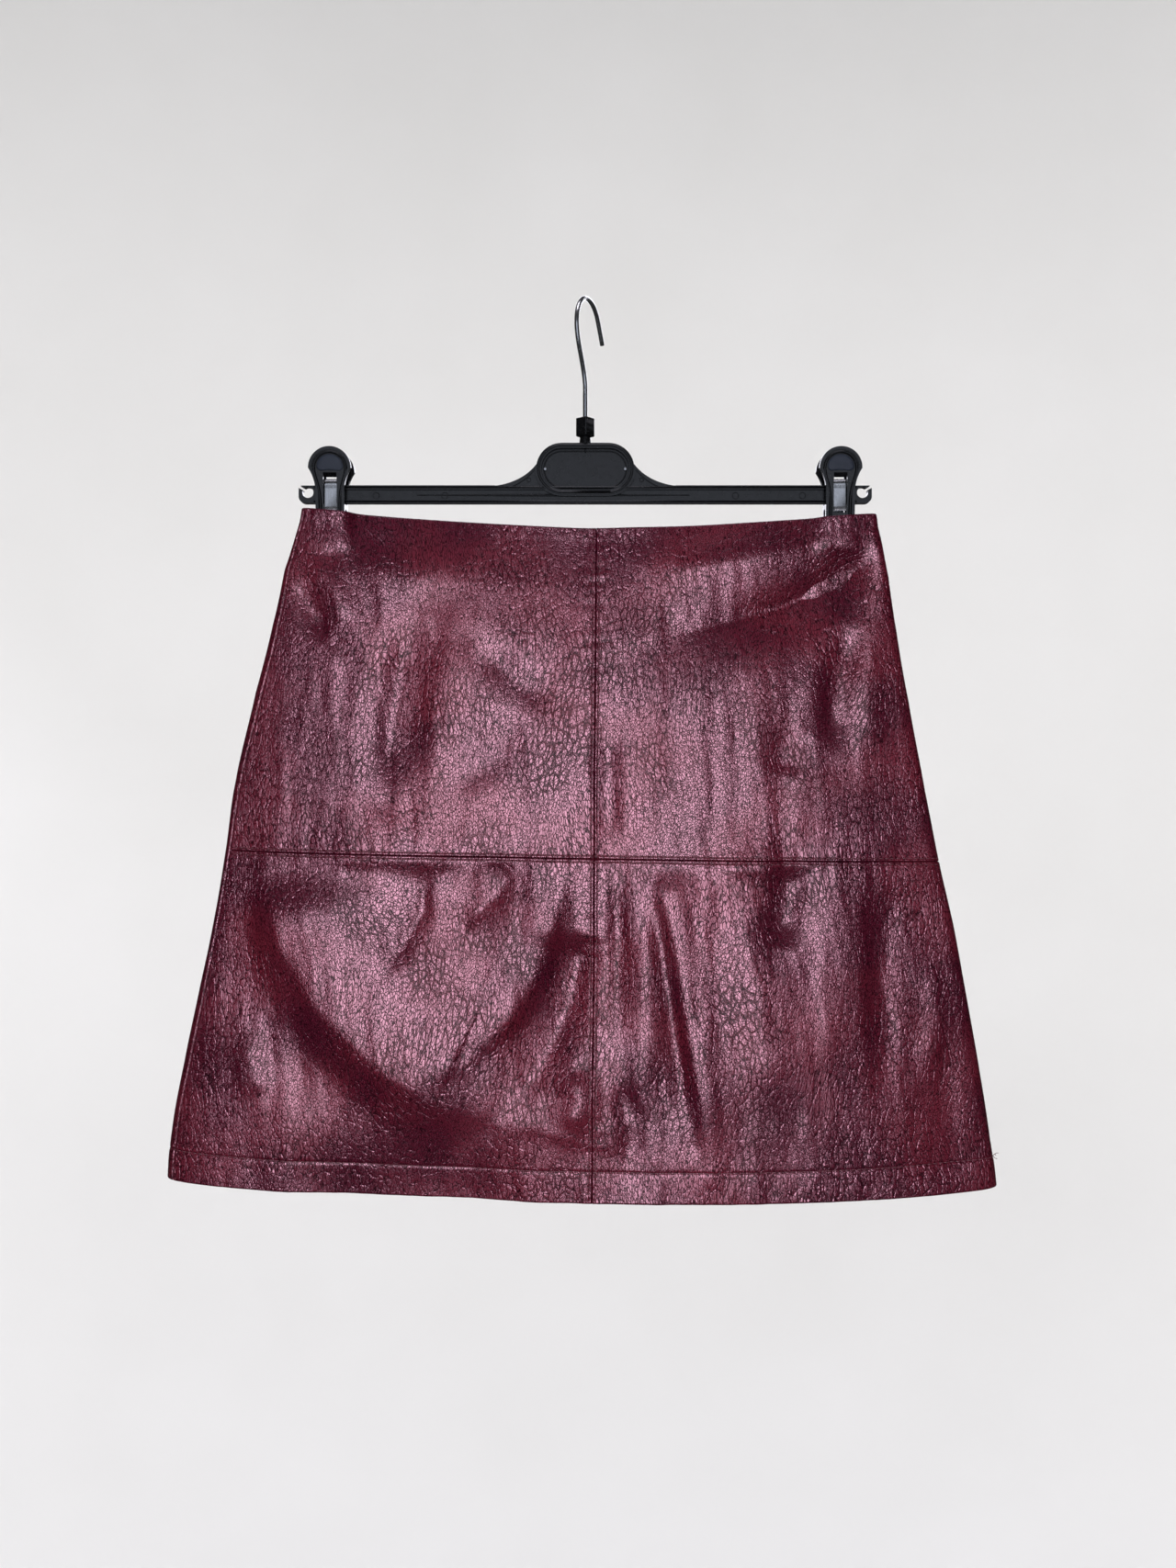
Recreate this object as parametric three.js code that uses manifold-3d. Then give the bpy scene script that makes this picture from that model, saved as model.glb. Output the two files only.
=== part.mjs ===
// An A-line leather skirt hung by its waist from a plastic clip hanger with a wire hook.
// Millimetres, +Z up. The origin is the underside of the hook's crown, where a rail carries it.
// The front of the skirt faces -Y and +X is to the right as the skirt is seen from the front.

import * as THREE from 'three';
import { mergeVertices } from 'three/addons/utils/BufferGeometryUtils.js';
import Module from 'manifold-3d';

const wasm = await Module();
wasm.setup();

// ---------------------------------------------------------------- driving dimensions

const SEAM_GAP = 0.3;           // between two pieces sewn edge to edge
const WALL = 1.4;               // one layer of leather with its backing
const WAIST_WALL = 2;           // where the waist edge is turned in and pressed
const HEM_WALL = 2.6;           // where the hem is turned up and lies double
const WAIST_TURN = 8;           // depth of the turned waist edge
const HEM_TURN = 20;            // depth of the turned hem

// Heights of the three level lines of the skirt at its left end, right end, and how far each
// sags in the middle. "round" is how square the sag is: 2 is a parabola.
const LEVELS = {
  waist: { left: -128.9, right: -132.3, sag: 11.2, round: 1.4 },
  yoke: { left: -337.5, right: -344.5, sag: 1.2, round: 2 },
  hem: { left: -538, right: -543.2, sag: 7.2, round: 2.5 },
};

const UPPER_LENGTH = LEVELS.waist.left - LEVELS.yoke.left;
const LOWER_LENGTH = LEVELS.yoke.left - LEVELS.hem.left;

// Cross-sections, from the waist (down 0) past the level seam (down 1) to the hem (down 2).
// centre and half: middle and half of the width. middle: the Y of the side folds.
// front, back: how far the cloth stands out from there. square: exponent of the section.
// leftSeam, rightSeam: how far the side seams lie from the folds, left on the front,
// right on the back.
const SECTIONS = [
  { down: 0.0, centre: 2.5, half: 175.0, middle: -2, front: 9.6, back: 3.5, square: 4.0, leftSeam: 1.6, rightSeam: 1.5 },
  { down: 0.09, centre: 2.0, half: 179.4, middle: -2, front: 9.8, back: 3.5, square: 4.0, leftSeam: 2.4, rightSeam: 1.6 },
  { down: 0.18, centre: 0.8, half: 184.4, middle: -2, front: 10.8, back: 5, square: 3.4, leftSeam: 3.5, rightSeam: 2 },
  { down: 0.34, centre: -0.3, half: 190.7, middle: -1.5, front: 13, back: 8, square: 2.9, leftSeam: 4.4, rightSeam: 3 },
  { down: 0.54, centre: -1.9, half: 199.8, middle: -1, front: 15, back: 11, square: 2.6, leftSeam: 4.6, rightSeam: 3 },
  { down: 0.8, centre: -3.0, half: 211.1, middle: -0.5, front: 17, back: 13, square: 2.5, leftSeam: 4.4, rightSeam: 3 },
  { down: 1.0, centre: -1.8, half: 218.4, middle: 0, front: 18, back: 14, square: 2.4, leftSeam: 3.4, rightSeam: 3 },
  { down: 1.2, centre: -0.6, half: 226.3, middle: 0, front: 19, back: 15, square: 2.4, leftSeam: 3.2, rightSeam: 3 },
  { down: 1.42, centre: -1.2, half: 234.9, middle: 0, front: 21, back: 17, square: 2.3, leftSeam: 4.2, rightSeam: 3 },
  { down: 1.65, centre: -2.0, half: 243.7, middle: 0, front: 23, back: 19, square: 2.3, leftSeam: 4.6, rightSeam: 3 },
  { down: 1.85, centre: -2.6, half: 250.4, middle: 0, front: 25, back: 21, square: 2.3, leftSeam: 4.6, rightSeam: 3 },
  { down: 2.0, centre: -1.9, half: 253.4, middle: 0, front: 26, back: 22, square: 2.3, leftSeam: 4.4, rightSeam: 3 },
];

const FRONT_SEAM_TOP = 6.8;     // X of the centre front seam at the waist
const FRONT_SEAM_HEM = 4.0;     // and at the hem

// The largest folds. A path runs through [x, z] points, deep is how far the cloth falls back
// from the surface along it (minus stands out), wide is the half width of the fold.
const FRONT_FOLDS = [
  { name: 'right drag fold', path: [[176, -152], [112, -191], [72, -206]], deep: 4, wide: 15 },
  { name: 'left upper hollow', path: [[-128, -222], [-108, -286]], deep: 2.5, wide: 14 },
  { name: 'left sweeping fold', path: [[-207, -350], [-190, -414], [-156, -465], [-111, -504]], deep: 6, wide: 17 },
  { name: 'left short fold', path: [[-91, -350], [-94, -380], [-123, -414]], deep: 3.5, wide: 12 },
  { name: 'right ridge', path: [[48, -352], [55, -397], [67, -454], [72, -521]], deep: -3.5, wide: 11 },
  { name: 'centre hollow', path: [[-30, -420], [-12, -470], [-40, -520]], deep: 5, wide: 24 },
  { name: 'right hollow', path: [[190, -390], [178, -450], [190, -520]], deep: 4, wide: 22 },
];
const BACK_FOLDS = [
  { name: 'back left fold', path: [[-96, -330], [-110, -420], [-128, -520]], deep: 6, wide: 20 },
  { name: 'back right fold', path: [[84, -290], [104, -400], [118, -520]], deep: 6, wide: 22 },
  { name: 'back drag fold', path: [[-160, -160], [-100, -200]], deep: 2.5, wide: 14 },
];

const ZIP = { halfWidth: 1.6, length: 170, taper: 16 };   // closed zip strip in the right seam

// Wire hook: a round crown in an upright plane turned away from the bar.
const HOOK = {
  wire: 2.8,                    // diameter
  turn: THREE.MathUtils.degToRad(67.7),
  crown: 18.5,                  // radius of the crown's centre line
  centre: 5,                    // of the crown, out from the stem
  past: THREE.MathUtils.degToRad(60),
  tip: 14.8,                    // straight run after the crown
  stemTop: -53,
  stemEnd: -88.2,
};
const MARKER = { side: 8.5, top: -73.3, bottom: -83.9, turn: THREE.MathUtils.degToRad(50) };

// Moulded hanger body: an oval plate on a ribbed bar with open end hooks.
const BAR = { half: 175.2, top: -114.7, bottom: -125.4, depth: 5.2, topRib: 2.3, bottomRib: 1.9 };
const PLATE = { half: 30, high: 15.7, z: -104.4, rim: 3.1, depth: 6.4 };
const NECK = { radius: 3.25, top: -84.2, bottom: -89.2 };
const SHOULDER = { top: -101.7, out: 30, foot: 54, rib: 1.7 };
const END_HOOK = { x: 169.5, z: -118.9, radius: 3.4, mouth: 1.6 };
const WEB = 1.8;                // thickness of the bar and plate between their ribs
const RUNNING_GAP = 0.35;       // round the wire and between the clips' parts

// Clips: two levers, pinched on the back waist by a bent steel strip over the bar.
const CLIP = {
  x: 155.4,
  headWide: 26, headTop: -92, headMiddle: -104.6,
  bodyWide: 17.6, shoulder: -117.5, bottom: -151,
  thick: 3, recess: 1, rim: 1.8,
  windowWide: 8.2, windowTop: -107.2, windowBottom: -131.4,
  jawInside: 1.3,               // from the clip's middle to the lever's inner face at the jaw
  lean: THREE.MathUtils.degToRad(5.2),
  earTop: -125.95, earBottom: -129.2, earWide: 2,
};
const SPRING = { wide: 7.4, thick: 0.5, radius: 3.35, centre: -113.95, foot: -127.4, lipOut: 1.3, lipDown: 3 };

// ---------------------------------------------------------------- materials

function finish(color, roughness, metalness) {
  return new THREE.MeshStandardMaterial({ color, roughness, metalness, side: THREE.DoubleSide });
}
const LEATHER = 0x6b2a33;
const BACK_LEATHER = 0x61252e;
const BLACK_PLASTIC = 0x15151a;
const STEEL = 0xb9bcc0;

// ---------------------------------------------------------------- the skirt's surface

const mix = (a, b, t) => a + (b - a) * t;

function smoothBetween(p0, p1, p2, p3, t) {
  return 0.5 * (2 * p1 + (p2 - p0) * t + (2 * p0 - 5 * p1 + 4 * p2 - p3) * t * t
    + (3 * p1 - p0 - 3 * p2 + p3) * t * t * t);
}

// Every column of the section table at a height, on a smooth curve through its rows.
function sectionAt(down) {
  const last = SECTIONS.length - 1;
  let row = 0;
  while (row < last - 1 && SECTIONS[row + 1].down < down) row += 1;
  const t = (down - SECTIONS[row].down) / (SECTIONS[row + 1].down - SECTIONS[row].down);
  const section = {};
  for (const column of Object.keys(SECTIONS[0])) {
    const near = [row - 1, row, row + 1, row + 2];
    const [p0, p1, p2, p3] = near.map((r) => SECTIONS[Math.min(Math.max(r, 0), last)][column]);
    section[column] = smoothBetween(p0, p1, p2, p3, t);
  }
  return section;
}

function levelHeight(level, across) {
  const sag = level.sag * (1 - Math.abs(across) ** level.round);
  return mix(level.left, level.right, (across + 1) / 2) - sag;
}

function heightAt(down, across) {
  const waist = levelHeight(LEVELS.waist, across);
  const yoke = levelHeight(LEVELS.yoke, across);
  const hem = levelHeight(LEVELS.hem, across);
  return down < 1 ? mix(waist, yoke, down) : mix(yoke, hem, down - 1);
}

function distanceToPath(x, z, path) {
  let nearest = Infinity;
  for (let i = 0; i < path.length - 1; i += 1) {
    const [ax, az] = path[i];
    const [bx, bz] = path[i + 1];
    const along = ((x - ax) * (bx - ax) + (z - az) * (bz - az)) / ((bx - ax) ** 2 + (bz - az) ** 2);
    const t = Math.min(Math.max(along, 0), 1);
    nearest = Math.min(nearest, Math.hypot(x - mix(ax, bx, t), z - mix(az, bz, t)));
  }
  return nearest;
}

function foldDepth(folds, x, z) {
  let depth = 0;
  for (const fold of folds) depth += fold.deep * Math.exp(-((distanceToPath(x, z, fold.path) / fold.wide) ** 2));
  return depth;
}

// A point of the skirt. angle runs round it: -90 degrees at the left fold, 0 at the middle of
// the front, 90 at the right fold, 180 at the middle of the back. inset moves it inwards.
function skirtPoint(angle, down, inset = 0) {
  const section = sectionAt(down);
  const across = Math.sin(angle);
  const onFront = Math.cos(angle) > 0;
  const bulge = (1 - Math.abs(across) ** section.square) ** (1 / section.square);
  const stand = onFront ? -(section.front - inset) : section.back - inset;
  const x = section.centre + (section.half - inset) * across;
  const z = heightAt(down, across);
  const folds = foldDepth(onFront ? FRONT_FOLDS : BACK_FOLDS, x, z) * (onFront ? 1 : -1);
  return new THREE.Vector3(x, section.middle + stand * bulge + folds * Math.cos(angle) ** 2, z);
}

// The angle at which the surface stands a given distance inside one of its folds.
function angleInside(down, distance) {
  return Math.acos(1 - distance / sectionAt(down).half);
}
const leftSeam = (down) => -Math.PI / 2 + angleInside(down, sectionAt(down).leftSeam);
const rightSeam = (down) => Math.PI / 2 + angleInside(down, sectionAt(down).rightSeam);
function frontSeam(down) {
  const section = sectionAt(down);
  return Math.asin((mix(FRONT_SEAM_TOP, FRONT_SEAM_HEM, down / 2) - section.centre) / section.half);
}

// The angle that moves a seam line sideways by a distance along the cloth.
function shifted(angle, down, distance) {
  const step = 0.002;
  const speed = skirtPoint(angle + step, down).distanceTo(skirtPoint(angle - step, down)) / (2 * step);
  return angle + distance / speed;
}

// How much of the zip strip's half width is open in the right seam at a height.
function zipOpening(down) {
  const below = (down * UPPER_LENGTH - ZIP.length) / ZIP.taper;
  return ZIP.halfWidth * Math.min(Math.max(1 - below, 0), 1);
}

// ---------------------------------------------------------------- mesh helpers

function geometryFrom(positions, triangles) {
  const geometry = new THREE.BufferGeometry();
  geometry.setAttribute('position', new THREE.Float32BufferAttribute(positions, 3));
  geometry.setIndex(triangles);
  geometry.computeVertexNormals();
  return geometry;
}

// A closed wall between an outer and an inner grid of points, columns from left to right as
// seen from outside and rows from top to bottom.
function wallGeometry(columns, rows, outerPoint, innerPoint) {
  const positions = [];
  const triangles = [];
  for (const point of [outerPoint, innerPoint]) {
    for (let r = 0; r <= rows; r += 1) {
      for (let c = 0; c <= columns; c += 1) positions.push(...point(c, r).toArray());
    }
  }
  const layer = (columns + 1) * (rows + 1);
  const outer = (c, r) => r * (columns + 1) + c;
  const inner = (c, r) => layer + outer(c, r);
  const quad = (a, b, c, d) => triangles.push(a, b, c, a, c, d);
  for (let r = 0; r < rows; r += 1) {
    for (let c = 0; c < columns; c += 1) {
      quad(outer(c, r), outer(c, r + 1), outer(c + 1, r + 1), outer(c + 1, r));
      quad(inner(c, r), inner(c + 1, r), inner(c + 1, r + 1), inner(c, r + 1));
    }
    quad(outer(0, r), inner(0, r), inner(0, r + 1), outer(0, r + 1));
    quad(outer(columns, r), outer(columns, r + 1), inner(columns, r + 1), inner(columns, r));
  }
  for (let c = 0; c < columns; c += 1) {
    quad(outer(c, 0), outer(c + 1, 0), inner(c + 1, 0), inner(c, 0));
    quad(outer(c, rows), inner(c, rows), inner(c + 1, rows), outer(c + 1, rows));
  }
  return geometryFrom(positions, triangles);
}

function asManifold(geometry) {
  const bare = geometry.clone();
  bare.deleteAttribute('normal');
  bare.deleteAttribute('uv');
  const merged = mergeVertices(bare, 1e-4);
  const mesh = new wasm.Mesh({
    numProp: 3,
    vertProperties: new Float32Array(merged.attributes.position.array),
    triVerts: new Uint32Array(merged.index.array),
  });
  return new wasm.Manifold(mesh);
}

function fromManifold(manifold) {
  const mesh = manifold.getMesh();
  return geometryFrom(Array.from(mesh.vertProperties), Array.from(mesh.triVerts));
}

// An outline in the upright plane X-Z, drawn as a Shape in (x, z), made thick from Y = back
// towards the viewer at Y = back - depth.
function uprightPlate(shape, depth, back, curveSegments = 12) {
  const geometry = new THREE.ExtrudeGeometry(shape, { depth, bevelEnabled: false, curveSegments });
  geometry.rotateX(Math.PI / 2);
  geometry.translate(0, back, 0);
  return geometry;
}

function mesh(name, geometry, material) {
  const piece = new THREE.Mesh(geometry, material);
  piece.name = name;
  return piece;
}

// ---------------------------------------------------------------- skirt panels

// Rows of a panel between two heights, closer together at a turned edge so that the double
// layer ends in a clear step.
function panelRows(from, to, count) {
  const rows = [];
  for (let r = 0; r <= count; r += 1) rows.push(mix(from, to, r / count));
  const steps = [];
  if (from < WAIST_TURN / UPPER_LENGTH) steps.push(WAIST_TURN / UPPER_LENGTH);
  if (to === 2) steps.push(2 - HEM_TURN / LOWER_LENGTH);
  for (const step of steps) {
    const sharp = 0.002;
    rows.push(step - sharp, step + sharp);
  }
  const clear = (row) => steps.every((step) => Math.abs(row - step) > 0.02 || Math.abs(row - step) < 0.003);
  return rows.filter(clear).sort((a, b) => a - b);
}

function wallAt(down) {
  if (down < WAIST_TURN / UPPER_LENGTH) return WAIST_WALL;
  return down > 2 - HEM_TURN / LOWER_LENGTH ? HEM_WALL : WALL;
}

// A panel between two side lines, each an angle at every height, and two levels.
function panel(name, material, { left, right, top, bottom, columns, rows, trimTop, trimBottom }) {
  const heights = panelRows(top, bottom, rows);
  const last = heights.length - 1;
  const trimmedDown = (r) => {
    if (r === 0 && trimTop) return heights[0] + SEAM_GAP / 2 / LOWER_LENGTH;
    if (r === last && trimBottom) return heights[last] - SEAM_GAP / 2 / UPPER_LENGTH;
    return heights[r];
  };
  const at = (inset) => (c, r) => {
    const down = trimmedDown(r);
    const from = shifted(left(down), down, SEAM_GAP / 2);
    const to = shifted(right(down), down, -SEAM_GAP / 2);
    return skirtPoint(mix(from, to, c / columns), down, inset(down));
  };
  const geometry = wallGeometry(columns, last, at(() => 0), at(wallAt));
  return mesh(name, geometry, material);
}

function skirt() {
  const group = new THREE.Group();
  const front = finish(LEATHER, 0.4, 0);
  const back = finish(BACK_LEATHER, 0.45, 0);
  const beside = (share) => (down) => shifted(rightSeam(down), down, share * zipOpening(down));
  const upper = { top: 0, bottom: 1, rows: 11, trimBottom: true };
  const lower = { top: 1, bottom: 2, rows: 11, trimTop: true };
  const sides = [
    { side: 'left', left: leftSeam, right: frontSeam, columns: 17 },
    { side: 'right', left: frontSeam, right: beside(-1), columns: 19 },
  ];
  for (const { side, ...lines } of sides) {
    group.add(panel(`front_upper_${side}`, front, { ...lines, ...upper }));
    group.add(panel(`front_lower_${side}`, front, { ...lines, ...lower }));
  }
  group.add(panel('back_panel', back, {
    left: beside(1),
    right: (down) => leftSeam(down) + 2 * Math.PI,
    top: 0, bottom: 2, columns: 34, rows: 22,
  }));
  const zipEnd = (ZIP.length + ZIP.taper * 0.4) / UPPER_LENGTH;
  group.add(panel('side_zip', finish(0x2a1014, 0.6, 0), {
    left: beside(-0.9), right: beside(0.9), top: 0.006, bottom: zipEnd, columns: 3, rows: 16,
  }));
  return group;
}

// ---------------------------------------------------------------- wire hook and size marker

function hookCurve() {
  const points = [];
  const inPlane = (out, z) => new THREE.Vector3(out * Math.cos(HOOK.turn), out * Math.sin(HOOK.turn), z);
  const centreZ = HOOK.wire / 2 - HOOK.crown;
  const endOut = HOOK.centre + HOOK.crown * Math.sin(HOOK.past);
  const endZ = centreZ + HOOK.crown * Math.cos(HOOK.past);
  const tipSteps = 3;
  for (let i = tipSteps; i > 0; i -= 1) {
    const run = HOOK.tip * i / tipSteps;
    points.push(inPlane(endOut + run * Math.cos(HOOK.past), endZ - run * Math.sin(HOOK.past)));
  }
  const arcSteps = 20;
  const sweep = HOOK.past + Math.PI / 2;
  for (let i = 0; i <= arcSteps; i += 1) {
    const angle = HOOK.past - sweep * i / arcSteps;
    points.push(inPlane(HOOK.centre + HOOK.crown * Math.sin(angle), centreZ + HOOK.crown * Math.cos(angle)));
  }
  const side = HOOK.centre - HOOK.crown;
  const swan = new THREE.CubicBezierCurve(
    new THREE.Vector2(side, centreZ),
    new THREE.Vector2(side, centreZ - 12),
    new THREE.Vector2(-4, HOOK.stemTop + 13),
    new THREE.Vector2(0, HOOK.stemTop),
  );
  const swanSteps = 8;
  for (let i = 1; i <= swanSteps; i += 1) {
    const { x, y } = swan.getPoint(i / swanSteps);
    points.push(inPlane(x, y));
  }
  points.push(inPlane(0, mix(HOOK.stemTop, HOOK.stemEnd, 0.1)), inPlane(0, HOOK.stemEnd));
  return new THREE.CatmullRomCurve3(points, false, 'centripetal');
}

function circleShape(radius) {
  const shape = new THREE.Shape();
  shape.absarc(0, 0, radius, 0, Math.PI * 2);
  return shape;
}

function wireHook() {
  const geometry = new THREE.ExtrudeGeometry(circleShape(HOOK.wire / 2), {
    steps: 72,
    curveSegments: 6,
    bevelEnabled: false,
    extrudePath: hookCurve(),
  });
  return mesh('wire_hook', geometry, finish(STEEL, 0.25, 1));
}

function sizeMarker() {
  const half = MARKER.side / 2;
  const corner = 0.9;
  const shape = new THREE.Shape();
  shape.absarc(half - corner, half - corner, corner, 0, Math.PI / 2);
  shape.absarc(-half + corner, half - corner, corner, Math.PI / 2, Math.PI);
  shape.absarc(-half + corner, -half + corner, corner, Math.PI, Math.PI * 1.5);
  shape.absarc(half - corner, -half + corner, corner, Math.PI * 1.5, Math.PI * 2);
  const bore = new THREE.Path();
  bore.absarc(0, 0, HOOK.wire / 2 + RUNNING_GAP, 0, Math.PI * 2);
  shape.holes.push(bore);
  const geometry = new THREE.ExtrudeGeometry(shape, {
    depth: MARKER.top - MARKER.bottom,
    bevelEnabled: false,
    curveSegments: 6,
  });
  const piece = mesh('size_marker', geometry, finish(BLACK_PLASTIC, 0.4, 0));
  piece.position.z = MARKER.bottom;
  piece.rotation.z = MARKER.turn;
  return piece;
}

// ---------------------------------------------------------------- hanger body

// The hanger's outline above the bar: a shoulder up each side to the plate.
function shoulderShape(shrink) {
  const foot = SHOULDER.foot - shrink * 3;
  const shape = new THREE.Shape();
  shape.moveTo(-foot, BAR.top - shrink);
  shape.quadraticCurveTo(-38, BAR.top + 2.6 - shrink, -SHOULDER.out, SHOULDER.top - shrink);
  shape.lineTo(SHOULDER.out, SHOULDER.top - shrink);
  shape.quadraticCurveTo(38, BAR.top + 2.6 - shrink, foot, BAR.top - shrink);
  return shape;
}

function plateShape(shrink) {
  const radius = PLATE.high - shrink;
  const straight = PLATE.half - PLATE.high;
  const shape = new THREE.Shape();
  shape.absarc(straight, PLATE.z, radius, -Math.PI / 2, Math.PI / 2);
  shape.absarc(-straight, PLATE.z, radius, Math.PI / 2, Math.PI * 1.5);
  return shape;
}

function boxShape(left, right, bottom, top) {
  const shape = new THREE.Shape();
  shape.moveTo(left, bottom);
  shape.lineTo(right, bottom);
  shape.lineTo(right, top);
  shape.lineTo(left, top);
  return shape;
}

// The bar's outline, with a rounded lower corner at each end.
function barShape() {
  const corner = 4;
  const shape = new THREE.Shape();
  shape.absarc(BAR.half - corner, BAR.bottom + corner, corner, -Math.PI / 2, 0);
  shape.lineTo(BAR.half, BAR.top - 1.5);
  shape.lineTo(BAR.half - 1.5, BAR.top);
  shape.lineTo(-BAR.half + 1.5, BAR.top);
  shape.lineTo(-BAR.half, BAR.top - 1.5);
  shape.absarc(-BAR.half + corner, BAR.bottom + corner, corner, Math.PI, Math.PI * 1.5);
  return shape;
}

function hangerBody() {
  const through = 12;
  const slab = (shape, depth) => asManifold(uprightPlate(shape, depth, depth / 2));
  let body = slab(barShape(), BAR.depth)
    .add(slab(shoulderShape(0), BAR.depth))
    .add(slab(plateShape(0), PLATE.depth));

  // Pockets on both faces leave the ribs standing round a thin web.
  const pocketDepth = (depth) => (depth - WEB) / 2;
  const bothFaces = (shape, depth) => {
    const deep = pocketDepth(depth);
    const over = 2;
    const frontPocket = uprightPlate(shape, deep + over, -WEB / 2);
    const backPocket = uprightPlate(shape, deep + over, WEB / 2 + deep + over);
    return asManifold(frontPocket).add(asManifold(backPocket));
  };
  const plateKeep = slab(plateShape(-0.9), PLATE.depth + 6);
  const webTop = BAR.top - BAR.topRib;
  const webBottom = BAR.bottom + BAR.bottomRib;
  const pocketEnd = END_HOOK.x - END_HOOK.radius - 2.2;
  const barPockets = bothFaces(boxShape(-pocketEnd, pocketEnd, webBottom, webTop), BAR.depth);
  const shoulderPockets = bothFaces(shoulderShape(SHOULDER.rib), BAR.depth);
  body = body
    .subtract(barPockets.subtract(plateKeep))
    .subtract(shoulderPockets.subtract(plateKeep))
    .subtract(bothFaces(plateShape(PLATE.rim), PLATE.depth));

  // A round loop notch at each end, open upwards and outwards through a narrow mouth.
  for (const side of [-1, 1]) {
    const notch = circleShape(END_HOOK.radius);
    const round = uprightPlate(notch, through, through / 2);
    round.translate(side * END_HOOK.x, 0, END_HOOK.z);
    const mouth = uprightPlate(boxShape(0, 12, -END_HOOK.mouth / 2, END_HOOK.mouth / 2), through, through / 2);
    mouth.rotateY(side > 0 ? -0.5 : Math.PI + 0.5);
    mouth.translate(side * END_HOOK.x, 0, END_HOOK.z + 0.6);
    body = body.subtract(asManifold(round)).subtract(asManifold(mouth));
  }

  // The neck that the wire turns in, and two small pins on each face of the plate.
  const neck = new THREE.CylinderGeometry(NECK.radius, NECK.radius + 0.4, NECK.top - NECK.bottom, 20);
  neck.rotateX(Math.PI / 2);
  neck.translate(0, 0, (NECK.top + NECK.bottom) / 2);
  const boreRadius = HOOK.wire / 2 + RUNNING_GAP;
  const bore = new THREE.CylinderGeometry(boreRadius, boreRadius, 12, 16);
  bore.rotateX(Math.PI / 2);
  bore.translate(0, 0, HOOK.stemEnd - RUNNING_GAP + 6);
  body = body.add(asManifold(neck)).subtract(asManifold(bore));
  for (const x of [-24.5, 24.5]) {
    const pin = new THREE.CylinderGeometry(0.8, 0.9, WEB + 1.6, 10);
    pin.translate(x, 0, PLATE.z);
    body = body.add(asManifold(pin));
  }
  return mesh('hanger_body', fromManifold(body), finish(BLACK_PLASTIC, 0.35, 0));
}

// ---------------------------------------------------------------- clips

function leverShape(shrink) {
  const radius = CLIP.headWide / 2 - shrink;
  const half = CLIP.bodyWide / 2 - shrink;
  const bottom = CLIP.bottom + shrink;
  const corner = 3;
  const shape = new THREE.Shape();
  shape.moveTo(-half, CLIP.shoulder);
  shape.lineTo(-half, bottom + corner);
  shape.quadraticCurveTo(-half, bottom, -half + corner, bottom);
  shape.lineTo(half - corner, bottom);
  shape.quadraticCurveTo(half, bottom, half, bottom + corner);
  shape.lineTo(half, CLIP.shoulder);
  shape.quadraticCurveTo(half + 0.3, CLIP.headMiddle - 6, radius, CLIP.headMiddle);
  shape.absarc(0, CLIP.headMiddle, radius, 0, Math.PI);
  shape.quadraticCurveTo(-half - 0.3, CLIP.headMiddle - 6, -half, CLIP.shoulder);
  return shape;
}

// A lever lies flat against Y = 0, facing the viewer, then leans back about its jaw.
function lever(name, side, clipX) {
  const full = asManifold(uprightPlate(leverShape(0), CLIP.thick, 0));
  const recess = asManifold(uprightPlate(leverShape(CLIP.rim), CLIP.recess + 1, -CLIP.thick + CLIP.recess));
  const halfWindow = CLIP.windowWide / 2;
  const opening = boxShape(-halfWindow, halfWindow, CLIP.windowBottom, CLIP.windowTop);
  const window = asManifold(uprightPlate(opening, 12, 6));
  let solid = full.subtract(recess).subtract(window);
  const reach = (CLIP.bottom - (CLIP.earTop + CLIP.earBottom) / 2) * -Math.tan(CLIP.lean) + CLIP.jawInside - SEAM_GAP;
  for (const edge of [-1, 1]) {
    const inner = edge * (CLIP.bodyWide / 2 - CLIP.earWide);
    const outer = edge * (CLIP.bodyWide / 2);
    const ear = boxShape(Math.min(inner, outer), Math.max(inner, outer), CLIP.earBottom, CLIP.earTop);
    solid = solid.add(asManifold(uprightPlate(ear, reach + 0.5, reach)));
  }
  const geometry = fromManifold(solid);
  geometry.translate(0, 0, -CLIP.bottom);
  geometry.rotateX(CLIP.lean);
  geometry.translate(0, -CLIP.jawInside, CLIP.bottom);
  const piece = mesh(name, geometry, finish(BLACK_PLASTIC, 0.35, 0));
  piece.position.x = clipX;
  if (side === 'back') piece.rotation.z = Math.PI;
  return piece;
}

// The strip's middle line from one foot, over the bar and down to the other, in (y, z).
function springLine() {
  const line = [];
  const bendSteps = 12;
  const leg = SPRING.radius;
  line.push([-leg - SPRING.lipOut, SPRING.foot - SPRING.lipDown], [-leg, SPRING.foot]);
  for (let i = 0; i <= bendSteps; i += 1) {
    const angle = Math.PI - Math.PI * i / bendSteps;
    line.push([leg * Math.cos(angle), SPRING.centre + leg * Math.sin(angle)]);
  }
  line.push([leg, SPRING.foot], [leg + SPRING.lipOut, SPRING.foot - SPRING.lipDown]);
  return line;
}

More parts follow.
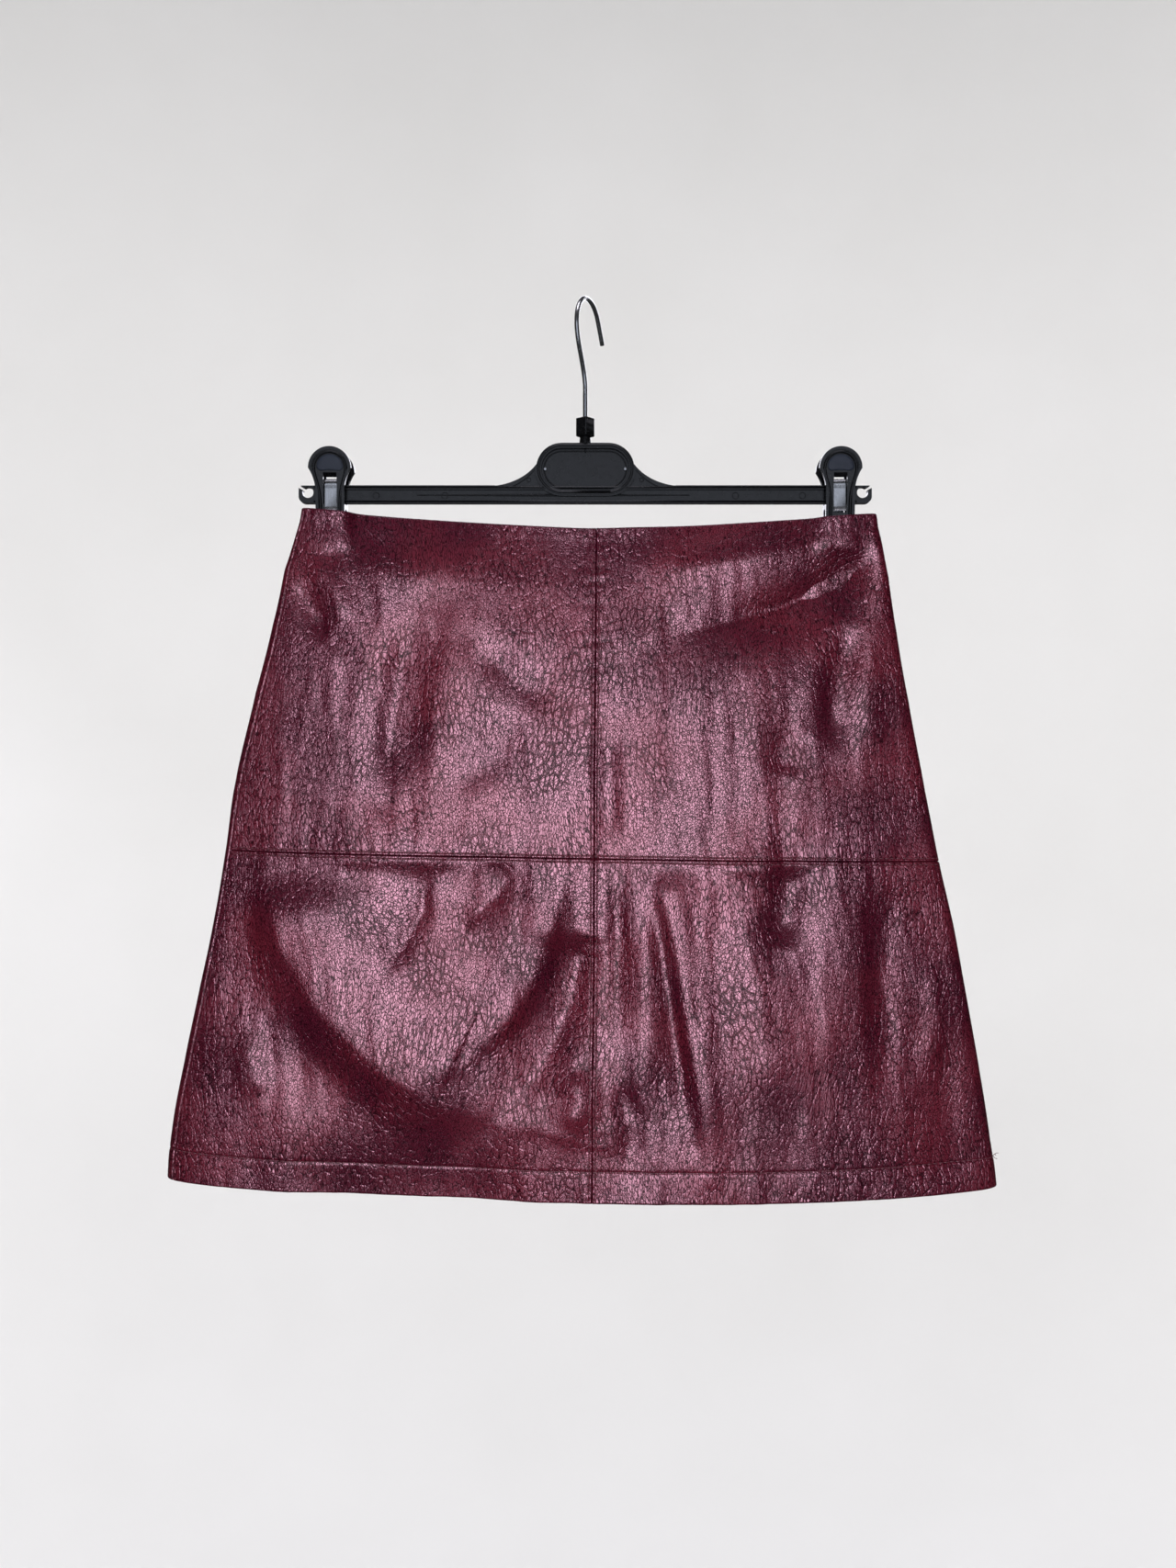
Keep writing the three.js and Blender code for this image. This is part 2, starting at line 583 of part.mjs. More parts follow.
function clipSpring(name, clipX) {
  const line = springLine();
  const half = SPRING.thick / 2;
  const outside = [];
  const inside = [];
  line.forEach(([y, z], i) => {
    const [ay, az] = line[Math.max(i - 1, 0)];
    const [by, bz] = line[Math.min(i + 1, line.length - 1)];
    const length = Math.hypot(by - ay, bz - az);
    const [ny, nz] = [-(bz - az) / length, (by - ay) / length];
    outside.push(new THREE.Vector2(y + ny * half, z + nz * half));
    inside.unshift(new THREE.Vector2(y - ny * half, z - nz * half));
  });
  const shape = new THREE.Shape([...outside, ...inside]);
  const geometry = new THREE.ExtrudeGeometry(shape, { depth: SPRING.wide, bevelEnabled: false });
  // (x, y, z) of the extrusion become the clip's (Y, Z, X).
  const axes = new THREE.Matrix4().set(0, 0, 1, -SPRING.wide / 2, 1, 0, 0, 0, 0, 1, 0, 0, 0, 0, 0, 1);
  geometry.applyMatrix4(axes);
  const piece = mesh(name, geometry, finish(STEEL, 0.3, 1));
  piece.position.x = clipX;
  return piece;
}

function clips() {
  const group = new THREE.Group();
  for (const [side, clipX] of [['left', -CLIP.x], ['right', CLIP.x]]) {
    group.add(lever(`clip_${side}_front_lever`, 'front', clipX));
    group.add(lever(`clip_${side}_back_lever`, 'back', clipX));
    group.add(clipSpring(`clip_${side}_spring`, clipX));
  }
  return group;
}

// ---------------------------------------------------------------- the whole thing

const model = new THREE.Group();
model.add(skirt(), wireHook(), sizeMarker(), hangerBody(), clips());

export default model;
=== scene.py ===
"""Looks of an A-line leather skirt on a clip hanger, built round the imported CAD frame.

Lengths in the tables and functions are millimetres in the frame's own axes: the origin is the
underside of the hook's crown, +Z is up and the front of the skirt faces -Y.
"""
import math
import random

import bpy
import numpy as np
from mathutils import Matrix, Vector


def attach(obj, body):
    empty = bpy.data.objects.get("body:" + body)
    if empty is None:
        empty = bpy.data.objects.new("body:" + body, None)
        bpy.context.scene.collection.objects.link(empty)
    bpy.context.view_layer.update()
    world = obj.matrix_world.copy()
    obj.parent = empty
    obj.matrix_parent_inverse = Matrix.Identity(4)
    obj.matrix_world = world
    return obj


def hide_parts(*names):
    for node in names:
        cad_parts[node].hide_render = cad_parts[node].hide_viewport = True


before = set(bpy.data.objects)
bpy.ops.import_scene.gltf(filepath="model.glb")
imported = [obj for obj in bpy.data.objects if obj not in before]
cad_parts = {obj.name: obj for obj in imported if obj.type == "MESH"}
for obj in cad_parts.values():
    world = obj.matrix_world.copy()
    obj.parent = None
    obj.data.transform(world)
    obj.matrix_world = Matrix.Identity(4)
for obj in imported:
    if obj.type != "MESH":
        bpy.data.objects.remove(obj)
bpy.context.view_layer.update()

MM = 0.001
BODY = "root"
random.seed(7)

# ---------------------------------------------------------------- driving dimensions

WALL = 1.4
WAIST_WALL = 2.0
HEM_WALL = 2.6
WAIST_TURN = 8.0
HEM_TURN = 20.0
EDGE_ROUND = 1.1          # radius of the rolled waist and hem edges
STITCH_IN = 1.9           # topstitching, from the seam line
HEM_STITCH = 18.5         # hem stitching, up from the hem edge
STITCH_PITCH = 3.7
STITCH_LONG = 3.0
THREAD = 0.62             # diameter
STITCH_SINK = -0.12       # of a thread's middle line, from the cloth
PANEL_PITCH = 1.6         # of a front panel's grid
BACK_PITCH = 2.6

# What sewing does to the cloth's surface: heights, half widths, places and wavelengths.
STITCH_PULL = dict(high=0.09, half=0.9)
PUCKER = dict(high=0.16, half=7, wave=9)
HEM = dict(groove=0.34, groove_half=0.75, swell=0.5, pull=0.08, pull_half=1.0, wave_high=0.16, wave=23,
           wave_half=9, wave_middle=HEM_STITCH * 0.55)
WAIST = dict(swell=0.35, wave_high=0.22, wave=7, wave_half=4, wave_middle=4.5)
INNER_SHARE = 0.4         # of the surface's relief that shows inside

# Heights of the level lines at the left and right end, their sag in the middle, and how
# square the sag is.
LEVELS = {
    "waist": dict(left=-128.9, right=-132.3, sag=11.2, round=1.4),
    "yoke": dict(left=-337.5, right=-344.5, sag=1.2, round=2.0),
    "hem": dict(left=-538.0, right=-543.2, sag=7.2, round=2.5),
}
UPPER_LENGTH = LEVELS["waist"]["left"] - LEVELS["yoke"]["left"]
LOWER_LENGTH = LEVELS["yoke"]["left"] - LEVELS["hem"]["left"]

# Cross-sections from the waist (0) past the level seam (1) to the hem (2): middle and half of
# the width, Y of the side folds, how far front and back stand out, how square the section is,
# and how far the side seams lie from the folds.
SECTION_COLUMNS = ("down", "centre", "half", "middle", "front", "back", "square", "left_seam",
                   "right_seam")
SECTIONS = np.array([
    (0.00, 2.5, 175.0, -2.0, 9.6, 3.5, 4.0, 1.6, 1.5),
    (0.09, 2.0, 179.4, -2.0, 9.8, 3.5, 4.0, 2.4, 1.6),
    (0.18, 0.8, 184.4, -2.0, 10.8, 5.0, 3.4, 3.5, 2.0),
    (0.34, -0.3, 190.7, -1.5, 13.0, 8.0, 2.9, 4.4, 3.0),
    (0.54, -1.9, 199.8, -1.0, 15.0, 11.0, 2.6, 4.6, 3.0),
    (0.80, -3.0, 211.1, -0.5, 17.0, 13.0, 2.5, 4.4, 3.0),
    (1.00, -1.8, 218.4, 0.0, 18.0, 14.0, 2.4, 3.4, 3.0),
    (1.20, -0.6, 226.3, 0.0, 19.0, 15.0, 2.4, 3.2, 3.0),
    (1.42, -1.2, 234.9, 0.0, 21.0, 17.0, 2.3, 4.2, 3.0),
    (1.65, -2.0, 243.7, 0.0, 23.0, 19.0, 2.3, 4.6, 3.0),
    (1.85, -2.6, 250.4, 0.0, 25.0, 21.0, 2.3, 4.6, 3.0),
    (2.00, -1.9, 253.4, 0.0, 26.0, 22.0, 2.3, 4.4, 3.0),
])
FOLD_END = 0.25           # a fold's strength at the ends of its path
CLOTH_WAVES = ((0.24, 26, 3.0, 3), (0.14, 13, 2.2, 5))    # height, wavelength, stretch, seed
WAVES_FROM = 4            # the waves grow from here down from the waist
WAVES_OVER = 14
FRONT_SEAM_TOP = 6.8
FRONT_SEAM_HEM = 4.0
ZIP = dict(half_width=1.6, length=170.0, taper=16.0)
CLIP_JAW = dict(x=155.4, half=14.0, foot=-156.0, soft=2.0)

# Folds placed one by one. out: how far the cloth stands out along the path (minus falls back).
# on_left, on_right: half widths on either side of the path as one walks along it.
# begin, finish: shares of the path over which the fold grows and fades. crisp: 2 for a round
# fold, less for a sharper one. path: points (x, z).
FOLD_COLUMNS = ("name", "out", "on_left", "on_right", "begin", "finish", "crisp", "path")
FRONT_FOLDS = (
    # Under the waist, between the two clips.
    ("left waist lean", -10.5, 10, 27, 0.05, 0.8, 2.0,
     ((-158, -118), (-96, -124), (-50, -130), (-14, -134))),
    ("right waist lean", -7.5, 10, 23, 0.4, 0.05, 2.0, ((18, -134), (60, -132), (120, -124), (160, -118))),
    ("left corner swell", 1.0, 15, 16, 0.3, 0.3, 2.0, ((-150, -164), (-110, -168), (-60, -170))),
    ("right waist swell", 2.0, 14, 10, 0.3, 0.3, 2.0, ((40, -166), (90, -160), (140, -152))),
    ("right drag fold", -12.0, 22, 15, 0.05, 0.55, 1.3,
     ((194, -150), (158, -171), (122, -189), (60, -206))),
    ("left corner crease", -3.4, 8, 7, 0.3, 0.3, 2.0, ((-178, -170), (-166, -192), (-154, -210))),
    ("left corner crest", 1.6, 7, 8, 0.3, 0.3, 2.0, ((-166, -158), (-152, -180), (-142, -202))),
    # Across the hips.
    ("left upper hollow", -5.0, 20, 11, 0.3, 0.3, 2.0,
     ((-100, -192), (-110, -226), (-114, -262), (-118, -306))),
    ("left upper crest", 1.8, 16, 10, 0.3, 0.3, 2.0, ((-76, -200), (-88, -246), (-90, -300))),
    ("middle crease", -1.8, 9, 10, 0.3, 0.3, 2.0, ((-66, -212), (-42, -234), (-18, -248))),
    ("middle dip", -2.2, 12, 12, 0.3, 0.3, 2.0, ((-44, -252), (-54, -280), (-80, -300))),
    ("right hip crease", -4.4, 13, 10, 0.3, 0.3, 2.0, ((164, -196), (154, -230), (146, -282))),
    ("right hip crest", 1.8, 10, 12, 0.3, 0.3, 2.0, ((178, -190), (172, -236), (176, -290))),
    ("right dimple", -2.4, 12, 12, 0.3, 0.3, 2.0, ((126, -262), (116, -292))),
    ("seam hollow", -3.0, 7, 10, 0.3, 0.3, 2.0, ((13, -262), (13, -338))),
    ("yoke swell left", 3.0, 28, 9, 0.3, 0.3, 2.0, ((-166, -340), (-116, -340), (-66, -342))),
    ("yoke swell right", 2.2, 20, 8, 0.3, 0.3, 2.0, ((74, -346), (122, -347))),
    # The big sweep from the left fold towards the hem.
    ("sweeping crest", 8.6, 60, 17, 0.16, 0.3, 1.7,
     ((-190, -350), (-181, -392), (-156, -432), (-124, -464), (-88, -486), (-50, -498))),
    ("sweeping fold", -2.6, 14, 26, 0.2, 0.3, 2.0,
     ((-210, -356), (-203, -408), (-176, -454), (-140, -490), (-106, -512))),
    ("left low swell", 2.6, 9, 10, 0.3, 0.3, 2.0, ((-208, -446), (-201, -470), (-198, -488))),
    ("short crease", -3.4, 7, 12, 0.3, 0.3, 1.3, ((-96, -344), (-98, -374), (-120, -412))),
    ("inner dip", -4.0, 10, 18, 0.3, 0.3, 1.3, ((-40, -344), (-54, -364), (-76, -384))),
    ("inner crest", 4.6, 9, 22, 0.3, 0.3, 2.0, ((-14, -350), (-26, -400), (-44, -434), (-74, -462))),
    ("inner hollow", -9.0, 14, 24, 0.15, 0.6, 1.5, ((-1, -384), (-10, -430), (-28, -470), (-58, -502))),
    ("low bump", 4.2, 9, 9, 0.3, 0.3, 2.0, ((-8, -468), (-3, -486), (-10, -506))),
    # Right of the middle seam.
    ("seam side dip", -3.0, 7, 7, 0.3, 0.3, 2.0, ((18, -352), (20, -396), (17, -450))),
    ("seam side swell", 2.8, 9, 9, 0.3, 0.3, 2.0, ((34, -362), (37, -402), (36, -446), (32, -498))),
    ("low side dip", -2.6, 8, 8, 0.3, 0.3, 2.0, ((18, -474), (30, -500), (26, -530))),
    ("right ridge", 5.2, 30, 8, 0.12, 0.3, 1.4, ((42, -346), (53, -392), (63, -448), (76, -528))),
    ("ridge flank", -3.0, 7, 6, 0.3, 0.3, 2.0, ((40, -350), (47, -396), (55, -452), (64, -512))),
    ("wedge swell", 4.6, 30, 18, 0.3, 0.3, 2.0, ((96, -366), (106, -430), (118, -500))),
    ("middle right crease", -5.4, 11, 11, 0.3, 0.3, 2.0, ((126, -342), (122, -366), (116, -398))),
    ("outer swell", 3.2, 20, 20, 0.3, 0.3, 2.0, ((156, -352), (154, -410), (146, -476))),
    ("right side roll", -8.0, 40, 46, 0.1, 0.1, 2.0, ((238, -348), (247, -440), (256, -538))),
    ("right upper roll", -6.0, 30, 34, 0.4, 0.1, 2.0, ((208, -226), (222, -290), (234, -342))),
    ("outer crease", -2.6, 10, 11, 0.3, 0.3, 2.0, ((180, -352), (178, -410), (182, -470))),
    ("outer streak", 3.6, 8, 9, 0.3, 0.3, 2.0, ((211, -400), (216, -440), (208, -474))),
    ("low left roll", -11.0, 42, 30, 0.3, 0.3, 2.0, ((-190, -548), (-110, -552), (-24, -550))),
)
BACK_FOLDS = (
    ("back left fold", -5.0, 22, 18, 0.3, 0.3, 2.0, ((-96, -330), (-110, -420), (-128, -524))),
    ("back left crest", 2.2, 18, 18, 0.3, 0.3, 2.0, ((-66, -350), (-76, -430), (-88, -524))),
    ("back right fold", -5.2, 20, 24, 0.3, 0.3, 2.0, ((84, -290), (104, -400), (118, -524))),
    ("back drag fold", -2.6, 13, 15, 0.3, 0.3, 2.0, ((-164, -160), (-130, -184), (-92, -200))),
    ("back drag right", -2.2, 13, 13, 0.3, 0.3, 2.0, ((160, -164), (128, -190), (100, -198))),
    ("back waist hollow", -1.6, 12, 14, 0.3, 0.3, 2.0, ((-120, -166), (0, -174), (124, -168))),
    ("back seat swell", 1.8, 40, 40, 0.3, 0.3, 2.0, ((-10, -262), (24, -300))),
    ("back low crease", -2.4, 12, 15, 0.3, 0.3, 2.0, ((12, -440), (20, -520))),
)


# ---------------------------------------------------------------- the skirt's surface

def mix(a, b, t):
    return a + (b - a) * t


def smooth_step(t):
    t = np.clip(t, 0, 1)
    return t * t * (3 - 2 * t)


def hump(distance, half):
    """1 on a line, falling softly to nearly 0 twice the half width away."""
    return np.exp(-((distance / half) ** 2))


def section_at(down):
    """The section table's columns at each height, on a smooth curve through its rows."""
    down = np.asarray(down, float)
    rows = SECTIONS[:, 0]
    last = len(rows) - 1
    row = np.clip(np.searchsorted(rows, down, side="left") - 1, 0, last - 1)
    t = ((down - rows[row]) / (rows[row + 1] - rows[row]))[..., None]
    p0, p1, p2, p3 = (SECTIONS[np.clip(row + k, 0, last)] for k in (-1, 0, 1, 2))
    values = 0.5 * (2 * p1 + (p2 - p0) * t + (2 * p0 - 5 * p1 + 4 * p2 - p3) * t**2
                    + (3 * p1 - p0 - 3 * p2 + p3) * t**3)
    return {name: values[..., i] for i, name in enumerate(SECTION_COLUMNS)}


def level_height(level, across):
    sag = level["sag"] * (1 - np.abs(across) ** level["round"])
    return mix(level["left"], level["right"], (across + 1) / 2) - sag


def height_at(down, across):
    waist, yoke, hem = (level_height(LEVELS[name], across) for name in ("waist", "yoke", "hem"))
    return np.where(down < 1, mix(waist, yoke, down), mix(yoke, hem, down - 1))


def fold_height(folds, x, z):
    """How far the placed folds lift the cloth at each point. A fold starts and ends softly."""
    lift = np.zeros_like(x)
    for row in folds:
        fold = dict(zip(FOLD_COLUMNS, row))
        path = np.array(fold["path"], float)
        legs = np.linalg.norm(np.diff(path, axis=0), axis=1)
        starts = np.concatenate([[0], np.cumsum(legs)])
        nearest = np.full(x.shape, np.inf)
        side = np.zeros_like(x)
        share = np.zeros_like(x)
        for (ax, az), (bx, bz), leg, start in zip(path, path[1:], legs, starts):
            t = np.clip(((x - ax) * (bx - ax) + (z - az) * (bz - az)) / leg**2, 0, 1)
            away = np.hypot(x - mix(ax, bx, t), z - mix(az, bz, t))
            turn = ((bx - ax) * (z - az) - (bz - az) * (x - ax)) / leg
            closer = away < nearest
            nearest = np.where(closer, away, nearest)
            side = np.where(closer, turn, side)
            share = np.where(closer, (start + t * leg) / starts[-1], share)
        wide = mix(fold["on_right"], fold["on_left"], 0.5 + 0.5 * np.tanh(side / 4))
        begin = smooth_step(share / fold["begin"])
        finish = smooth_step((1 - share) / fold["finish"])
        strength = mix(FOLD_END, 1, begin) * mix(FOLD_END, 1, finish)
        lift += fold["out"] * strength * np.exp(-((nearest / wide) ** fold["crisp"]))
    return lift


def soft_noise(x, z, wavelength, stretch, seed):
    """Uneven waves: a sum of sines in set directions, about one unit high."""
    rng = np.random.default_rng(seed)
    total = np.zeros_like(x)
    count = 9
    for _ in range(count):
        turn = rng.uniform(-0.55, 0.55)
        size = wavelength * rng.uniform(0.6, 1.7)
        phase = rng.uniform(0, 2 * math.pi)
        bend = rng.uniform(40, 90)
        shifted = x + 0.18 * wavelength * np.sin(z / bend + phase)
        along = shifted * math.cos(turn) + z * math.sin(turn) / stretch
        total += np.sin(2 * math.pi * along / size + phase)
    return total / math.sqrt(count)


def over_jaw(x, z):
    """1 where the front lies against a clip's jaw and can't fall back, 0 away from it."""
    beside = np.exp(-(((np.abs(x) - CLIP_JAW["x"]) / CLIP_JAW["half"]) ** 4))
    return beside / (1 + np.exp(-(z - CLIP_JAW["foot"]) / CLIP_JAW["soft"]))


def skirt_points(angle, down, inset=0.0):
    """Points of the skirt. angle: -90 degrees at the left fold, 0 at the middle of the front,
    90 at the right fold, 180 at the middle of the back. inset moves them inwards."""
    s = section_at(down)
    across = np.sin(angle)
    on_front = np.cos(angle) > 0
    bulge = np.clip(1 - np.abs(across) ** s["square"], 0, 1) ** (1 / s["square"])
    stand = np.where(on_front, inset - s["front"], s["back"] - inset)
    x = s["centre"] + (s["half"] - inset) * across
    z = height_at(down, across)
    front_lift = fold_height(FRONT_FOLDS, x, z) * (1 - over_jaw(x, z))
    lift = np.where(on_front, -front_lift, fold_height(BACK_FOLDS, x, z))
    middle_share = smooth_step(np.cos(angle) ** 2 / 0.3)
    fade = np.clip((down * UPPER_LENGTH - WAVES_FROM) / WAVES_OVER, 0, 1)
    waves = sum(high * soft_noise(x, z, wave, stretch, seed) for high, wave, stretch, seed in CLOTH_WAVES)
    waves = waves * fade * np.where(on_front, -1, 1)
    y = s["middle"] + stand * bulge + (lift + waves) * middle_share
    return np.stack([x, y, z], axis=-1)


def angle_inside(down, column):
    s = section_at(down)
    return np.arccos(1 - s[column] / s["half"])


def left_seam(down):
    return -math.pi / 2 + angle_inside(down, "left_seam")


def right_seam(down):
    return math.pi / 2 + angle_inside(down, "right_seam")


def front_seam(down):
    s = section_at(down)
    return np.arcsin((mix(FRONT_SEAM_TOP, FRONT_SEAM_HEM, down / 2) - s["centre"]) / s["half"])


def beside_zip(share):
    """The right seam line moved round the skirt by a share of the zip strip's half width."""
    def line(down):
        below = (down * UPPER_LENGTH - ZIP["length"]) / ZIP["taper"]
        opening = share * ZIP["half_width"] * np.clip(1 - below, 0, 1)
        angle = right_seam(down)
        step = 0.01
        ends = [skirt_points(angle + k * step, down) for k in (-1, 1)]
        speed = np.linalg.norm(ends[1] - ends[0], axis=-1) / (2 * step)
        return angle + opening / speed
    return line


def unit(v):
    return v / np.maximum(np.linalg.norm(v, axis=-1, keepdims=True), 1e-9)


def grid_normals(points):
    """Outward normals of a grid whose rows run down and columns run left to right."""
    down = np.gradient(points, axis=0)
    right = np.gradient(points, axis=1)
    return unit(np.cross(down, right))


# ---------------------------------------------------------------- mesh helpers

def add_mesh(name, vertices, faces, smooth=True):
    """A piece from vertices in millimetres, riding on the skirt's body."""
    mesh = bpy.data.meshes.new(name)
    mesh.from_pydata((np.asarray(vertices, float) * MM).tolist(), [], faces)
    mesh.validate()
    mesh.update()
    if smooth:
        mesh.shade_smooth()
    piece = bpy.data.objects.new(name, mesh)
    bpy.context.scene.collection.objects.link(piece)
    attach(piece, BODY)
    return piece


def grid_faces(rows, columns, start=0, flip=False):
    index = start + np.arange(rows * columns).reshape(rows, columns)
    corners = (index[:-1, :-1], index[1:, :-1], index[1:, 1:], index[:-1, 1:])
    faces = np.stack([c.ravel() for c in corners], axis=-1)
    return (faces[:, ::-1] if flip else faces).tolist()


def wall_mesh(name, outer, inner):
    """A closed wall between an outer and an inner grid of points."""
    rows, columns = outer.shape[:2]
    vertices = np.concatenate([outer.reshape(-1, 3), inner.reshape(-1, 3)])
    layer = rows * columns
    faces = grid_faces(rows, columns) + grid_faces(rows, columns, layer, flip=True)
    index = np.arange(layer).reshape(rows, columns)
    border = np.concatenate([index[0, :-1], index[:-1, -1], index[-1, :0:-1], index[:0:-1, 0]])
    after = np.roll(border, -1)
    faces += np.stack([border, after, after + layer, border + layer], axis=-1).tolist()
    return add_mesh(name, vertices, faces)


def ring_faces(rings, sides):
    """Faces between rings of points, each ring closed round to its start."""
    faces = []
    for ring in range(rings - 1):
        for k in range(sides):
            a, b = ring * sides + k, ring * sides + (k + 1) % sides
            faces.append((a, b, b + sides, a + sides))
    return faces


def tube_parts(path, radius, sides, taper=None, up=(0.0, 1.0, 0.0), rise=1.0):
    """Vertices and faces of a closed tube along a path of points. up is the normal of the
    path's plane, and rise the tube's height along it as a share of its width."""
    path = np.asarray(path, float)
    tangent = unit(np.gradient(path, axis=0))
    up = np.array(up) if abs(tangent[0] @ np.array(up)) < 0.9 else np.array([1.0, 0.0, 0.0])
    side = unit(np.cross(tangent, up))
    other = np.cross(tangent, side) * rise
    turn = np.linspace(0, 2 * math.pi, sides, endpoint=False)
    size = radius * (np.ones(len(path)) if taper is None else np.asarray(taper))
    ring = np.cos(turn)[None, :, None] * side[:, None] + np.sin(turn)[None, :, None] * other[:, None]
    vertices = (path[:, None] + ring * size[:, None, None]).reshape(-1, 3)
    faces = ring_faces(len(path), sides)
    faces.append(tuple(range(sides - 1, -1, -1)))
    faces.append(tuple((len(path) - 1) * sides + k for k in range(sides)))
    return vertices, faces


def join_parts(name, parts):
    """Many small closed shapes as one joined mesh."""
    vertices, faces = [], []
    for part_vertices, part_faces in parts:
        start = len(vertices)
        vertices.extend(part_vertices)
        faces.extend(tuple(start + i for i in face) for face in part_faces)
    return add_mesh(name, vertices, faces)


# ---------------------------------------------------------------- skirt panels

# How the cloth rolls beside a sewn line: distance from the line and height above the cloth.
SEAM_ROLL = np.array([(0.0, -0.85), (0.2, -0.3), (0.35, 0.0), (0.6, 0.12), (1.1, 0.16), (1.5, 0.1),
                      (1.75, -0.05), (1.9, -0.18), (2.05, -0.04), (2.3, 0.1), (3.0, 0.12), (5.0, 0.05),
                      (8.0, 0.0)])
PLAIN_ROLL = np.array([(0.0, -0.6), (0.3, -0.15), (0.8, 0.2), (1.6, 0.25), (3.0, 0.1), (5.0, 0.0)])
FINE_STEPS = np.array([0.03, 0.2, 0.36, 0.6, 0.9, 1.2, 1.5, 1.75, 1.9, 2.05, 2.3, 2.8, 3.5, 4.6, 6.0])


def spread(length, pitch, fine_start, fine_end):
    """Distances along a line: fine steps at the sewn ends and an even pitch between."""
    low = FINE_STEPS if fine_start else np.array([0.03])
    high = length - (FINE_STEPS[::-1] if fine_end else np.array([0.03]))
    count = max(int(round((high[0] - low[-1]) / pitch)), 2)
    return np.concatenate([low, np.linspace(low[-1], high[0], count + 1)[1:-1], high])


def row_shares(top, bottom, pitch):
    """Heights of a panel's rows, fine at the level seam, the turned edges and the hem stitching."""
    rows = []
    for start, end, length in ((top, min(bottom, 1), UPPER_LENGTH), (max(top, 1), bottom, LOWER_LENGTH)):
        if end <= start:
            continue
        run = (end - start) * length
        fine_top = start in (top,)
        fine_bottom = end in (bottom,)
        positions = spread(run, pitch, fine_top, fine_bottom)
        if end == 2:
            around = run - HEM_STITCH + np.array([-2.4, -1.4, -0.8, -0.4, 0, 0.4, 0.8, 1.4, 2.4])
            positions = positions[(positions < around[0] - 0.6) | (positions > around[-1] + 0.6)]
            positions = np.sort(np.concatenate([positions, around]))
        rows.append(start + positions / length)
    return np.concatenate(rows)


def rolled_inset(distance, wall):
    """How far the surface turns in over a rounded edge of half the wall."""
    radius = min(EDGE_ROUND, wall / 2)
    short = np.clip((radius - distance) / radius, 0, 1)
    return radius * (1 - np.sqrt(1 - short**2))


